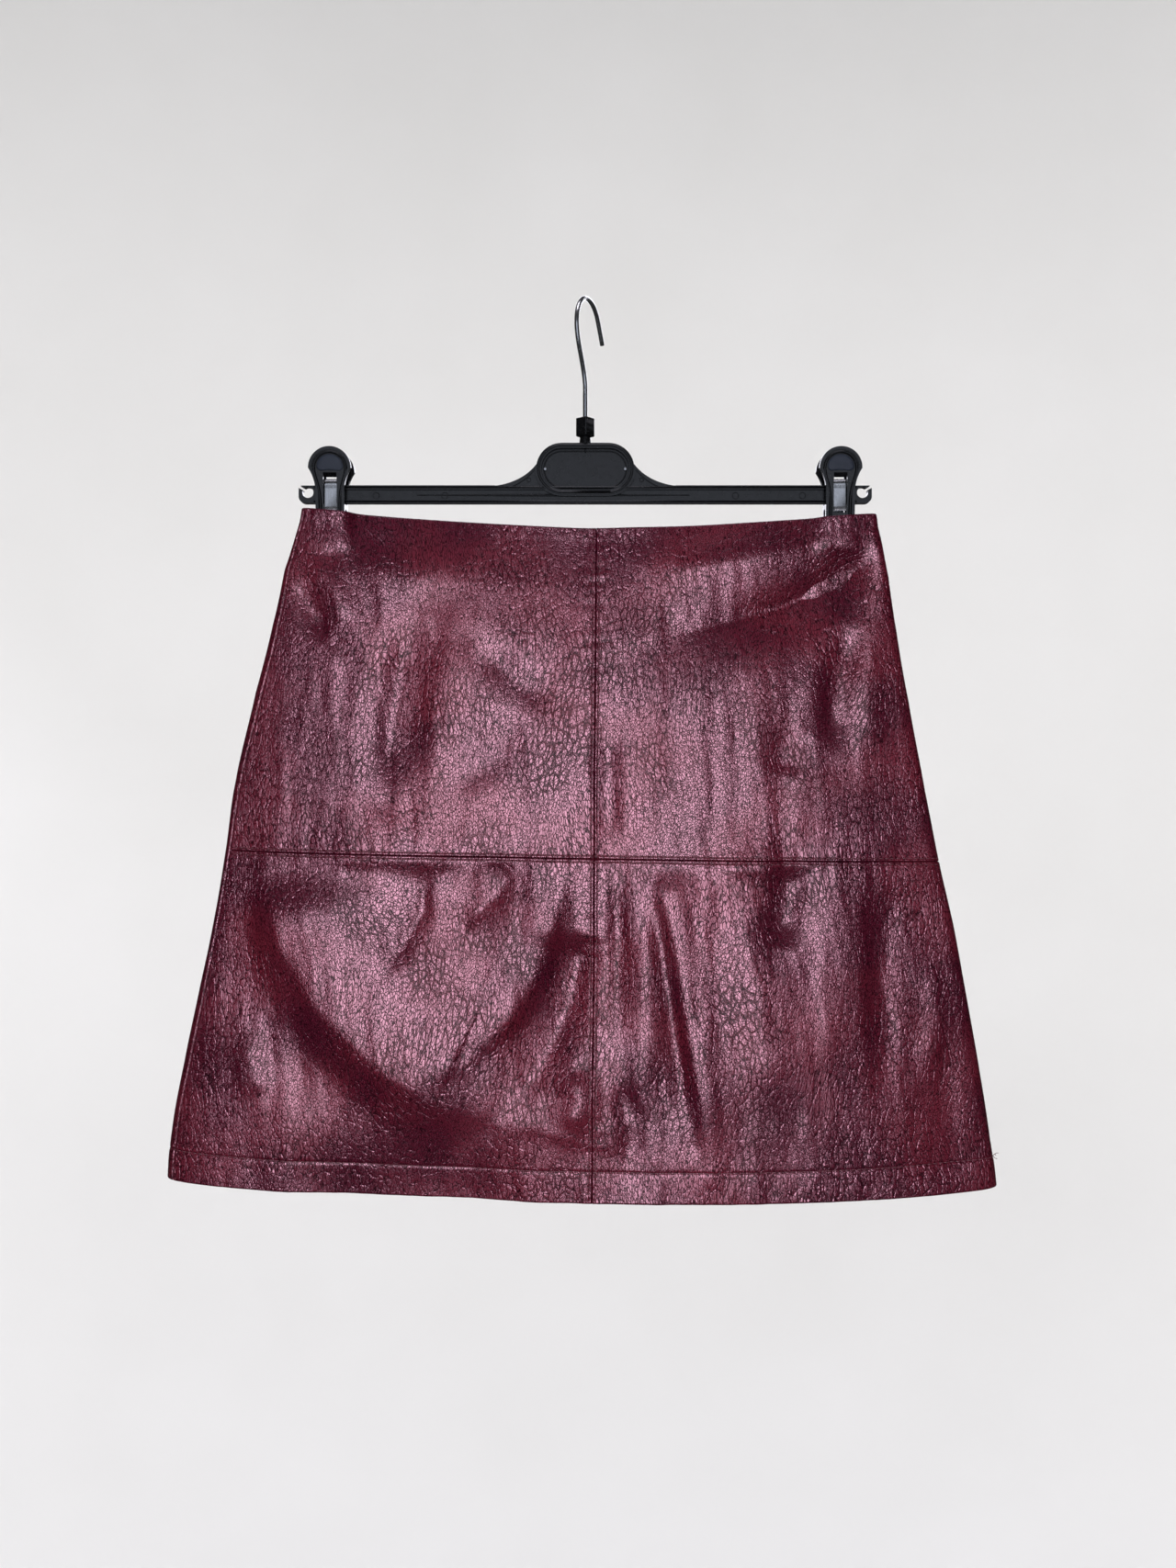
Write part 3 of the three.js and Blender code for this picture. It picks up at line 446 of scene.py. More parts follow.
def panel_grids(left, right, top, bottom, pitch, sewn):
    """Outer and inner grids of a panel. sewn says which edges meet another piece with
    topstitching ("stitched"), plainly ("plain") or are a rolled edge ("rolled")."""
    downs = row_shares(top, bottom, pitch)
    dense = 900
    share = np.linspace(0, 1, dense)
    angles = left(downs)[:, None] * (1 - share) + right(downs)[:, None] * share
    guide = skirt_points(angles, np.repeat(downs[:, None], dense, axis=1))
    run = np.linalg.norm(np.diff(guide, axis=1), axis=-1)
    run = np.concatenate([np.zeros((len(downs), 1)), np.cumsum(run, axis=1)], axis=1)
    typical = float(np.median(run[:, -1]))
    places = spread(typical, pitch, True, True)
    fine = len(FINE_STEPS)
    grid_angle = np.empty((len(downs), len(places)))
    from_left = np.empty_like(grid_angle)
    from_right = np.empty_like(grid_angle)
    for r, total in enumerate(run[:, -1]):
        row = places.copy()
        row[-fine:] += total - typical
        inner_share = (places[fine:-fine] - places[fine - 1]) / (places[-fine] - places[fine - 1])
        row[fine:-fine] = mix(row[fine - 1], row[-fine], inner_share)
        grid_angle[r] = np.interp(row, run[r], angles[r])
        from_left[r] = row
        from_right[r] = total - row
    grid_down = np.repeat(downs[:, None], len(places), axis=1)
    scale = np.where(grid_down < 1, UPPER_LENGTH, LOWER_LENGTH)
    from_top = (grid_down - top) * (scale if top == 1 else UPPER_LENGTH)
    from_hem = (2 - grid_down) * LOWER_LENGTH
    from_bottom = (bottom - grid_down) * scale

    wall = np.where(grid_down * UPPER_LENGTH < WAIST_TURN, WAIST_WALL, WALL)
    wall = np.where(from_hem < HEM_TURN, HEM_WALL, wall)
    turn_in = np.zeros_like(wall)
    for edge, distance, edge_wall in (("top", from_top, WAIST_WALL), ("bottom", from_bottom, HEM_WALL)):
        if sewn[edge] == "rolled":
            turn_in = np.maximum(turn_in, rolled_inset(distance, edge_wall))
    base = skirt_points(grid_angle, grid_down)
    normal = grid_normals(base)

    lift = np.zeros_like(wall)
    for edge, distance, along in (("left", from_left, base[..., 2]), ("right", from_right, base[..., 2]),
                                  ("top", from_top, base[..., 0]), ("bottom", from_bottom, base[..., 0])):
        if sewn[edge] == "rolled":
            continue
        roll = SEAM_ROLL if sewn[edge] == "stitched" else PLAIN_ROLL
        lift += np.interp(distance, roll[:, 0], roll[:, 1])
        if sewn[edge] == "stitched":
            pull = hump(distance - STITCH_IN, STITCH_PULL["half"])
            lift += STITCH_PULL["high"] * pull * np.cos(2 * math.pi * along / STITCH_PITCH)
            uneven = soft_noise(along, np.full_like(along, 3), PUCKER["wave"], 1, 21)
            lift += PUCKER["high"] * hump(distance, PUCKER["half"]) * uneven
    if sewn["bottom"] == "rolled":
        stitch_line = from_hem - HEM_STITCH
        pull = hump(stitch_line, HEM["pull_half"]) * np.cos(2 * math.pi * base[..., 0] / STITCH_PITCH)
        uneven = soft_noise(base[..., 0], base[..., 2], HEM["wave"], 1.5, 33)
        lift += HEM["pull"] * pull - HEM["groove"] * hump(stitch_line, HEM["groove_half"])
        lift += HEM["swell"] * np.clip(1 - from_hem / HEM_STITCH, 0, 1) ** 0.5
        lift += HEM["wave_high"] * hump(from_hem - HEM["wave_middle"], HEM["wave_half"]) * uneven
    if sewn["top"] == "rolled":
        uneven = soft_noise(base[..., 0], base[..., 2], WAIST["wave"], 6, 41)
        lift += WAIST["wave_high"] * hump(from_top - WAIST["wave_middle"], WAIST["wave_half"]) * uneven
        lift += WAIST["swell"] * np.clip(1 - from_top / WAIST_TURN, 0, 1) ** 0.5
    outer = skirt_points(grid_angle, grid_down, turn_in) + normal * lift[..., None]
    inner = skirt_points(grid_angle, grid_down, wall - turn_in) + normal * (lift * INNER_SHARE)[..., None]
    return outer, inner


def make_panel(node, left, right, top, bottom, pitch, sewn):
    outer, inner = panel_grids(left, right, top, bottom, pitch, sewn)
    piece = wall_mesh("cloth_" + node, outer, inner)
    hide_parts(node)
    return piece


def cut_size(piece, layers=2):
    """Flat width, length and area in metres of a panel, from its own mesh."""
    area = sum(face.area for face in piece.data.polygons) / layers
    low = Vector(map(min, *(v.co for v in piece.data.vertices)))
    high = Vector(map(max, *(v.co for v in piece.data.vertices)))
    return high.x - low.x, high.z - low.z, area


def make_skirt():
    pieces = {}
    sides = {
        "left": dict(left=left_seam, right=front_seam, edges=("plain", "stitched")),
        "right": dict(left=front_seam, right=beside_zip(-1), edges=("stitched", "plain")),
    }
    for side, lines in sides.items():
        for part, top, bottom in (("upper", 0, 1), ("lower", 1, 2)):
            sewn = dict(left=lines["edges"][0], right=lines["edges"][1])
            sewn["top"] = "rolled" if part == "upper" else "stitched"
            sewn["bottom"] = "stitched" if part == "upper" else "rolled"
            node = f"front_{part}_{side}"
            pieces[node] = make_panel(node, lines["left"], lines["right"], top, bottom, PANEL_PITCH,
                                      sewn)
    sewn = dict(left="plain", right="plain", top="rolled", bottom="rolled")
    pieces["back_panel"] = make_panel("back_panel", beside_zip(1), lambda d: left_seam(d) + 2 * math.pi,
                                      0, 2, BACK_PITCH, sewn)
    return pieces


skirt = make_skirt()


# ---------------------------------------------------------------- stitching and loose thread

def line_of_points(angle_of, down_of, count=600):
    share = np.linspace(0, 1, count)
    downs = down_of(share)
    angles = angle_of(share, downs)
    points = skirt_points(angles, downs)
    step = 0.004
    across = skirt_points(angles + step, downs) - skirt_points(angles - step, downs)
    along = skirt_points(angles, downs + step) - skirt_points(angles, downs - step)
    return points, unit(np.cross(along, across))


def stitches_along(points, normals, lift):
    """Short thread tubes that dip into the cloth at both ends."""
    run = np.concatenate([[0], np.cumsum(np.linalg.norm(np.diff(points, axis=0), axis=1))])
    parts = []
    place = 1.2
    while place + STITCH_LONG < run[-1] - 1:
        uneven = random.uniform(-0.12, 0.12)
        spots = place + uneven + STITCH_LONG * np.array([0, 0.14, 0.5, 0.86, 1])
        path = np.stack([np.interp(spots, run, points[:, k]) for k in range(3)], axis=-1)
        out = np.stack([np.interp(spots, run, normals[:, k]) for k in range(3)], axis=-1)
        depth = lift + np.array([-0.3, 0.0, 0.1, 0.0, -0.3])
        path = path + out * depth[:, None]
        parts.append(tube_parts(path, THREAD / 2, 6, (0.75, 1, 1.05, 1, 0.75)))
        place += STITCH_PITCH
    return parts


def shifted_front_seam(offset):
    def angle(_, downs):
        s = section_at(downs)
        x = mix(FRONT_SEAM_TOP, FRONT_SEAM_HEM, downs / 2) + offset
        return np.arcsin((x - s["centre"]) / s["half"])
    return angle


def make_front_stitching():
    parts = []
    cross_gap = 2.4 / UPPER_LENGTH
    for offset in (-STITCH_IN, STITCH_IN):
        for low, high in ((0.012, 1 - cross_gap), (1 + cross_gap, 1.995)):
            parts += stitches_along(*line_of_points(shifted_front_seam(offset),
                                                    lambda t, a=low, b=high: mix(a, b, t)), STITCH_SINK)
    for offset, length in ((-STITCH_IN, UPPER_LENGTH), (STITCH_IN, LOWER_LENGTH)):
        level = 1 + offset / length

        def at_level(t, d, level=level):
            return mix(left_seam(d) + 0.02, right_seam(d) - 0.02, t)
        parts += stitches_along(*line_of_points(at_level, lambda t, v=level: np.full_like(t, v), 1500),
                                STITCH_SINK)
    return join_parts("seam_topstitching", parts)


def make_hem_stitching():
    level = 2 - HEM_STITCH / LOWER_LENGTH
    parts = []
    for low, high in ((-math.pi / 2 + 0.02, math.pi / 2 + 0.1), (math.pi / 2 + 0.12, math.pi * 1.5)):
        parts += stitches_along(*line_of_points(lambda t, d, a=low, b=high: mix(a, b, t),
                                                lambda t: np.full_like(t, level), 1500), STITCH_SINK)
    return join_parts("hem_stitching", parts)


def make_loose_threads():
    """Thread ends left long where the hem stitching starts in the right side seam."""
    level = 2 - HEM_STITCH / LOWER_LENGTH
    start = skirt_points(np.array([math.pi / 2 - 0.02]), np.array([level]))[0]
    parts = []
    for reach, rise, bow in ((3.4, 1.8, 0.7), (2.6, -1.6, -0.5), (1.8, 0.4, 0.9)):
        t = np.linspace(0, 1, 7)[:, None]
        path = start + t * np.array([reach, -0.6, rise]) + np.sin(t * math.pi) * np.array([0, -0.3, bow])
        parts.append(tube_parts(path, 0.17, 6))
    return join_parts("loose_thread_ends", parts)


front_stitching = make_front_stitching()
hem_stitching = make_hem_stitching()
loose_threads = make_loose_threads()


# ---------------------------------------------------------------- side zip

def make_zip():
    """Two woven tape edges that meet over the closed teeth, in the right side seam."""
    end = (ZIP["length"] + ZIP["taper"] * 0.4) / UPPER_LENGTH
    downs = np.linspace(0.006, end, 160)
    shares = np.linspace(-0.85, 0.85, 13)
    outer = np.empty((len(downs), len(shares), 3))
    inner = np.empty_like(outer)
    for c, share in enumerate(shares):
        angle = beside_zip(share)(downs)
        roll = 0.5 + 0.5 * math.cos(min(abs(abs(share) - 0.45) / 0.4, 1) * math.pi)
        outer[:, c] = skirt_points(angle, downs, 0.75 - 0.45 * roll)
        inner[:, c] = skirt_points(angle, downs, WALL)
    piece = wall_mesh("closed_zip_tape", outer, inner)
    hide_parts("side_zip")
    return piece


zip_tape = make_zip()


# ---------------------------------------------------------------- hanger details

HOOK = dict(radius=1.4, turn=math.radians(67.7), crown=18.5, centre=5.0, past=math.radians(60), tip=14.8,
            stem_top=-53.0, stem_end=-88.0)
PLATE = dict(straight=14.3, round=15.7, z=-104.4, floor=0.9, rim=3.2, rim_wide=3.1, pin_x=24.5, pin=0.95)
BAR = dict(top=-114.7, bottom=-125.4, face=2.6, web=0.9, foot=56.0, end=166.0)
WEB_RIB = dict(left=-103, right=64, z=-120.3, radius=0.75)
TEETH = dict(pitch=1.25, half=0.3, deep=2.3, sunk=0.3, high=0.32)
# Rings that the mould's pins leave: x, z, radius, depth, points round, ridge radius.
MOULD_RINGS = (
    (-86, -120.6, 1.9, -0.9, 25, 0.22), (-128, -120.6, 1.9, -0.9, 25, 0.22),
    (92, -120.6, 1.9, -0.9, 25, 0.22), (133, -120.6, 1.9, -0.9, 25, 0.22),
    (-34.5, -110.9, 1.2, -0.9, 21, 0.2), (34.5, -110.9, 1.2, -0.9, 21, 0.2),
    (0, -86.9, 0.9, -3.35, 17, 0.2),
)
MARKER = dict(half=4.25, top=-73.3, bottom=-83.9, turn=math.radians(50))
CLIP = dict(x=155.4, head_z=-104.6, bottom=-151.0, floor=-2.0, jaw=1.3, lean=math.radians(5.2),
            window_top=-107.2)
CLIP_RIDGE = dict(head=10.35, radius=0.95, rise=1.15)
JAW_RIBS = dict(low=-148.5, high=-134, pitch=1.8, half=5, radius=0.35)
SPRING = dict(half=3.7, face=3.6, bend=-113.95)
SPRING_TOOTH = dict(half=0.16, deep=0.14, top=-0.4, foot=-2.6)


def arc(middle, radius, start, end, count):
    """Points (x, z) of an arc, its angles in degrees from +X towards +Z."""
    turn = np.radians(np.linspace(start, end, count))
    return np.stack([middle[0] + radius * np.cos(turn), middle[1] + radius * np.sin(turn)], axis=-1)


def upright(points, y):
    """Points (x, z) stood up at a depth."""
    points = np.asarray(points, float)
    return np.stack([points[:, 0], np.full(len(points), float(y)), points[:, 1]], axis=-1)


def smooth_line(points, count):
    """A smooth curve through given points."""
    points = np.asarray(points, float)
    run = np.concatenate([[0], np.cumsum(np.linalg.norm(np.diff(points, axis=0), axis=1))])
    spots = np.linspace(0, run[-1], count)
    path = np.stack([np.interp(spots, run, column) for column in points.T], axis=-1)
    for _ in range(count // 6):
        path[1:-1] = (path[:-2] + 2 * path[1:-1] + path[2:]) / 4
    return path


def block_parts(low, high):
    """Vertices and faces of a small block between two corners."""
    (x0, y0, z0), (x1, y1, z1) = low, high
    vertices = [(x, y, z) for y in (y0, y1) for x, z in ((x0, z0), (x1, z0), (x1, z1), (x0, z1))]
    faces = [(0, 1, 2, 3), (7, 6, 5, 4), (0, 4, 5, 1), (1, 5, 6, 2), (2, 6, 7, 3), (3, 7, 4, 0)]
    return vertices, faces


def dome_parts(outline, middle, floor, rise):
    """A low raised pad: rings from its outline on the floor up to a nearly flat top."""
    outline = np.asarray(outline, float)
    vertices = []
    rings = ((1.0, 0.0), (0.985, 0.45), (0.95, 0.75), (0.88, 0.9), (0.65, 0.97), (0.35, 1.0))
    for share, height in rings:
        ring = np.array(middle) + (outline - middle) * share
        vertices.extend((x, floor - rise * height, z) for x, z in ring)
    count = len(outline)
    faces = ring_faces(len(rings), count)
    faces.append(tuple((len(rings) - 1) * count + k for k in range(count)))
    faces.append(tuple(range(count - 1, -1, -1)))
    return vertices, faces


def make_hook():
    """The wire: a cut tip, a round crown, and a swan neck down into the moulding."""
    centre_z = HOOK["radius"] - HOOK["crown"]
    past = math.degrees(HOOK["past"])
    crown = arc((HOOK["centre"], centre_z), HOOK["crown"], 90 - past, 180, 48)
    tip_run = np.linspace(HOOK["tip"], 0, 14, endpoint=False)[:, None]
    tip = crown[0] + tip_run * np.array([math.cos(HOOK["past"]), -math.sin(HOOK["past"])])
    a, b = crown[-1], np.array([0, HOOK["stem_top"]])
    t = np.linspace(0, 1, 30)[1:, None]
    swan = ((1 - t)**3 * a + 3 * (1 - t)**2 * t * (a + (0, -13))
            + 3 * (1 - t) * t**2 * (b + (-2, 13)) + t**3 * b)
    drops = (1, 3, 6, 12, 20, 28, 34.4)
    stem = np.array([(0, HOOK["stem_top"] - drop) for drop in drops] + [(0, HOOK["stem_end"])])
    run = np.concatenate([tip, crown, swan, stem])
    across = np.array([math.cos(HOOK["turn"]), math.sin(HOOK["turn"]), 0.0])
    path = run[:, :1] * across + run[:, 1:] * np.array([0.0, 0.0, 1.0])
    taper = np.ones(len(path))
    path = np.concatenate([path[:1], path[:1] + (path[1] - path[0]) * 0.15, path[1:]])
    taper = np.concatenate([[0.72], taper])
    plane = (-across[1], across[0], 0.0)
    piece = join_parts("wire_hook_drawn", [tube_parts(path, HOOK["radius"], 28, taper, plane)])
    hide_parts("wire_hook")
    return piece


def stadium(inset, y):
    """A closed line round the oval plate, a set distance in from its edge."""
    radius = PLATE["round"] - inset
    right = arc((PLATE["straight"], PLATE["z"]), radius, -90, 90, 25)
    left = arc((-PLATE["straight"], PLATE["z"]), radius, 90, 270, 25)
    return upright(np.concatenate([right, left, right[:1]]), y)


def make_body_ridges():
    """The moulding's rounded rims and ribs, and the marks that the mould leaves."""
    parts = []
    for face in (-1, 1):
        rim = face * (PLATE["rim"] - 0.35)
        floor = face * PLATE["floor"]
        parts.append(tube_parts(stadium(1.35, rim), 1.0, 10, rise=0.7))
        parts.append(tube_parts(stadium(PLATE["rim_wide"] - 0.35, rim - face * 0.1), 0.5, 8, rise=1.0))
        parts.append(tube_parts(stadium(PLATE["rim_wide"] + 1.7, floor), 0.45, 8, rise=0.8))
        for z in (BAR["top"] - 1.1, BAR["bottom"] + 0.95):
            rail = upright([(-BAR["end"], z), (BAR["end"], z)], face * (BAR["face"] - 0.3))
            parts.append(tube_parts(rail, 0.75, 8, rise=0.75))
        run = np.linspace(WEB_RIB["left"], WEB_RIB["right"], 24)
        rib = upright(np.stack([run, np.full(24, WEB_RIB["z"])], axis=-1), face * BAR["web"])
        swell = 0.25 + np.sin(np.linspace(0.1, 3.0, 24)) * 0.75
        parts.append(tube_parts(rib, WEB_RIB["radius"], 8, swell, rise=0.7))
    gate = upright([(0.0, -90.6), (0.05, -92.2), (0.1, -93.6), (0.1, -94.6)], -PLATE["floor"] - 0.1)
    parts.append(tube_parts(gate, 0.6, 10, (1, 1, 0.8, 0.3)))
    for x, z, radius, depth, points, ridge in MOULD_RINGS:
        parts.append(tube_parts(upright(arc((x, z), radius, 0, 360, points), depth), ridge, 6))
    for side in (-1, 1):
        for x in np.arange(BAR["foot"], BAR["end"] - 2, TEETH["pitch"]):
            low = (side * x - TEETH["half"], -TEETH["deep"], BAR["top"] - TEETH["sunk"])
            high = (side * x + TEETH["half"], TEETH["deep"], BAR["top"] + TEETH["high"])
            parts.append(block_parts(low, high))
    return join_parts("moulded_ridges_and_marks", parts)


def make_pin_heads():
    """The pins' polished heads, one near each end of the plate's front face."""
    parts = []
    for x in (-PLATE["pin_x"], PLATE["pin_x"]):
        outline = arc((x, PLATE["z"]), PLATE["pin"], 0, 360, 21)[:-1]
        parts.append(dome_parts(outline, (x, PLATE["z"]), -1.5, 0.75))
    return join_parts("plate_pin_heads", parts)


def make_marker_ribs():
    """Upright grip ribs on the marker's right face, and rounded lips round its top and its foot."""
    parts = []
    out = np.array([math.sin(MARKER["turn"]), -math.cos(MARKER["turn"]), 0.0])
    along = np.array([math.cos(MARKER["turn"]), math.sin(MARKER["turn"]), 0.0])
    for step in np.linspace(-0.74, 0.74, 7):
        foot = out * (MARKER["half"] - 0.12) + along * MARKER["half"] * step
        path = [foot + (0, 0, MARKER["bottom"] + 1.0), foot + (0, 0, MARKER["top"] - 1.2)]
        parts.append(tube_parts(path, 0.3, 6))
    corner = MARKER["half"] - 0.55
    square = [(corner, -corner), (corner, corner), (-corner, corner), (-corner, -corner)]
    for z, grow in ((MARKER["top"] - 0.1, 1.0), (MARKER["bottom"] + 0.1, 0.97)):
        for (ax, ay), (bx, by) in zip(square, square[1:] + square[:1]):
            ends = [along * x * grow - out * y * grow + (0, 0, z) for x, y in ((ax, ay), (bx, by))]
            parts.append(tube_parts(ends, 0.5, 8, up=(0.0, 0.0, 1.0)))
    return join_parts("marker_ribs", parts)


def on_lever(points, side, face):
    """Moves a lever's own points (x, y, z) to where the lever leans on the bar."""
    x, y, z = np.asarray(points, float).T
    z = z - CLIP["bottom"]
    tilted = y * math.cos(CLIP["lean"]) - z * math.sin(CLIP["lean"]) - CLIP["jaw"]
    height = y * math.sin(CLIP["lean"]) + z * math.cos(CLIP["lean"]) + CLIP["bottom"]
    if face > 0:
        x, tilted = -x, -tilted
    return np.stack([x + side * CLIP["x"], tilted, height], axis=-1)


def make_clip_ridges():
    """A round ridge up each leg of a lever and round its head, and level grip ribs inside its jaw."""
    half = [(6.2, -147.5), (5.9, -136), (5.9, -124), (6.6, -117), (8.2, -111.5), (9.9, -107.2)]
    head = arc((0, CLIP["head_z"]), CLIP_RIDGE["head"], -8, 188, 30)
    line = np.concatenate([half, head, [(-x, z) for x, z in reversed(half)]])
    path = upright(smooth_line(line, 96), CLIP["floor"] - 0.15)
    parts = []
    for side in (-1, 1):
        for face in (-1, 1):
            ridge = on_lever(path, side, face)
            parts.append(tube_parts(ridge, CLIP_RIDGE["radius"], 10, rise=CLIP_RIDGE["rise"]))
            for z in np.arange(JAW_RIBS["low"], JAW_RIBS["high"], JAW_RIBS["pitch"]):
                rib = on_lever([(-JAW_RIBS["half"], 0.0, z), (JAW_RIBS["half"], 0.0, z)], side, face)
                parts.append(tube_parts(rib, JAW_RIBS["radius"], 6))
    return join_parts("clip_ridges", parts)


def make_finger_pads():
    """The oval pad that the finger presses, inside the ridge of each lever's head."""
    low = CLIP["window_top"] + 0.9
    top = arc((0, -104.0), 8.3, -4, 184, 33) * (1, 0.94) + (0, -104.0 * 0.06)
    foot = [(-6.6, low - 0.5), (-4.0, low + 0.2), (0, low + 0.5), (4.0, low + 0.2), (6.6, low - 0.5)]
    outline = smooth_line(np.concatenate([top, foot, top[:1]]), 72)[:-1]
    parts = []
    for side in (-1, 1):
        for face in (-1, 1):
            vertices, faces = dome_parts(outline, (0, -101.6), CLIP["floor"] + 0.1, 0.75)
            parts.append((on_lever(vertices, side, face), faces))
    return join_parts("finger_pads", parts)


def make_spring_teeth():
    """Fine upright teeth pressed across each strip where it bends over the bar."""
    parts = []
    for side in (-1, 1):
        for x in np.linspace(-SPRING["half"] + 0.5, SPRING["half"] - 0.5, 10):
            for face in (-1, 1):
                middle = np.array([side * CLIP["x"] + x, face * SPRING["face"], SPRING["bend"]])
                half, deep = SPRING_TOOTH["half"], SPRING_TOOTH["deep"]
                parts.append(block_parts(middle + (-half, -deep, SPRING_TOOTH["foot"]),
                                         middle + (half, deep, SPRING_TOOTH["top"])))
    return join_parts("spring_teeth", parts)


def soften(node, width, segments=2):
    """Rounds the edges of a moulded or bent CAD part, as the tool leaves them."""
    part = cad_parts[node]
    weld = part.modifiers.new("weld", "WELD")
    weld.merge_threshold = 0.00001
    bevel = part.modifiers.new("rounded_edges", "BEVEL")
    bevel.width = width * MM
    bevel.segments = segments
    bevel.limit_method = "ANGLE"
    bevel.angle_limit = math.radians(32)
    bevel.harden_normals = False
    for face in part.data.polygons:
        face.use_smooth = True
    sharp = part.modifiers.new("crisp_faces", "WEIGHTED_NORMAL")
    sharp.keep_sharp = True
    return part


LEVERS = [f"clip_{side}_{face}_lever" for side in ("left", "right") for face in ("front", "back")]
SPRINGS = [f"clip_{side}_spring" for side in ("left", "right")]

for lever in LEVERS:
    soften(lever, 0.45, 3)
for spring in SPRINGS:
    soften(spring, 0.12, 2)
soften("hanger_body", 0.3, 2)
soften("size_marker", 0.3, 2)

hook = make_hook()
body_ridges = make_body_ridges()
pin_heads = make_pin_heads()
marker_ribs = make_marker_ribs()
clip_ridges = make_clip_ridges()
finger_pads = make_finger_pads()
spring_teeth = make_spring_teeth()


# ---------------------------------------------------------------- materials

def linear(hex_colour):
    """A hex sRGB colour as linear RGBA."""
    channels = [int(hex_colour[i:i + 2], 16) / 255 for i in (1, 3, 5)]
    return tuple(c / 12.92 if c <= 0.04045 else ((c + 0.055) / 1.055) ** 2.4 for c in channels) + (1.0,)


def add_node(tree, kind, settings=None, **inputs):
    """Adds a node with its settings, and each input's value or the socket that feeds it.
    Input names use _ for a space, and a number picks the socket by its place."""
    node = tree.nodes.new(kind)
    for key, value in (settings or {}).items():
        setattr(node, key, value)
    for key, value in inputs.items():
        name = key.replace("_", " ")
        socket = node.inputs[int(key[1:])] if key[0] == "i" and key[1:].isdigit() else node.inputs[name]
        if isinstance(value, bpy.types.NodeSocket):
            tree.links.new(value, socket)
        else:
            socket.default_value = value
    return node


def new_material(name):
    material = bpy.data.materials.new(name)
    material.use_nodes = True
    tree = material.node_tree
    tree.nodes.clear()
    return material, tree


def finish_material(tree, shader):
    output = tree.nodes.new("ShaderNodeOutputMaterial")
    tree.links.new(shader.outputs["BSDF"], output.inputs["Surface"])


def mm_coordinates(tree, turn=0.0, stretch=(1, 1, 1)):
    """Object coordinates in millimetres, turned and stretched to a pattern's own run."""
    place = add_node(tree, "ShaderNodeTexCoord")
    mapping = add_node(tree, "ShaderNodeMapping", Vector=place.outputs["Object"],
                       Rotation=(0, turn, 0), Scale=tuple(1000 / s for s in stretch))
    return mapping.outputs["Vector"]


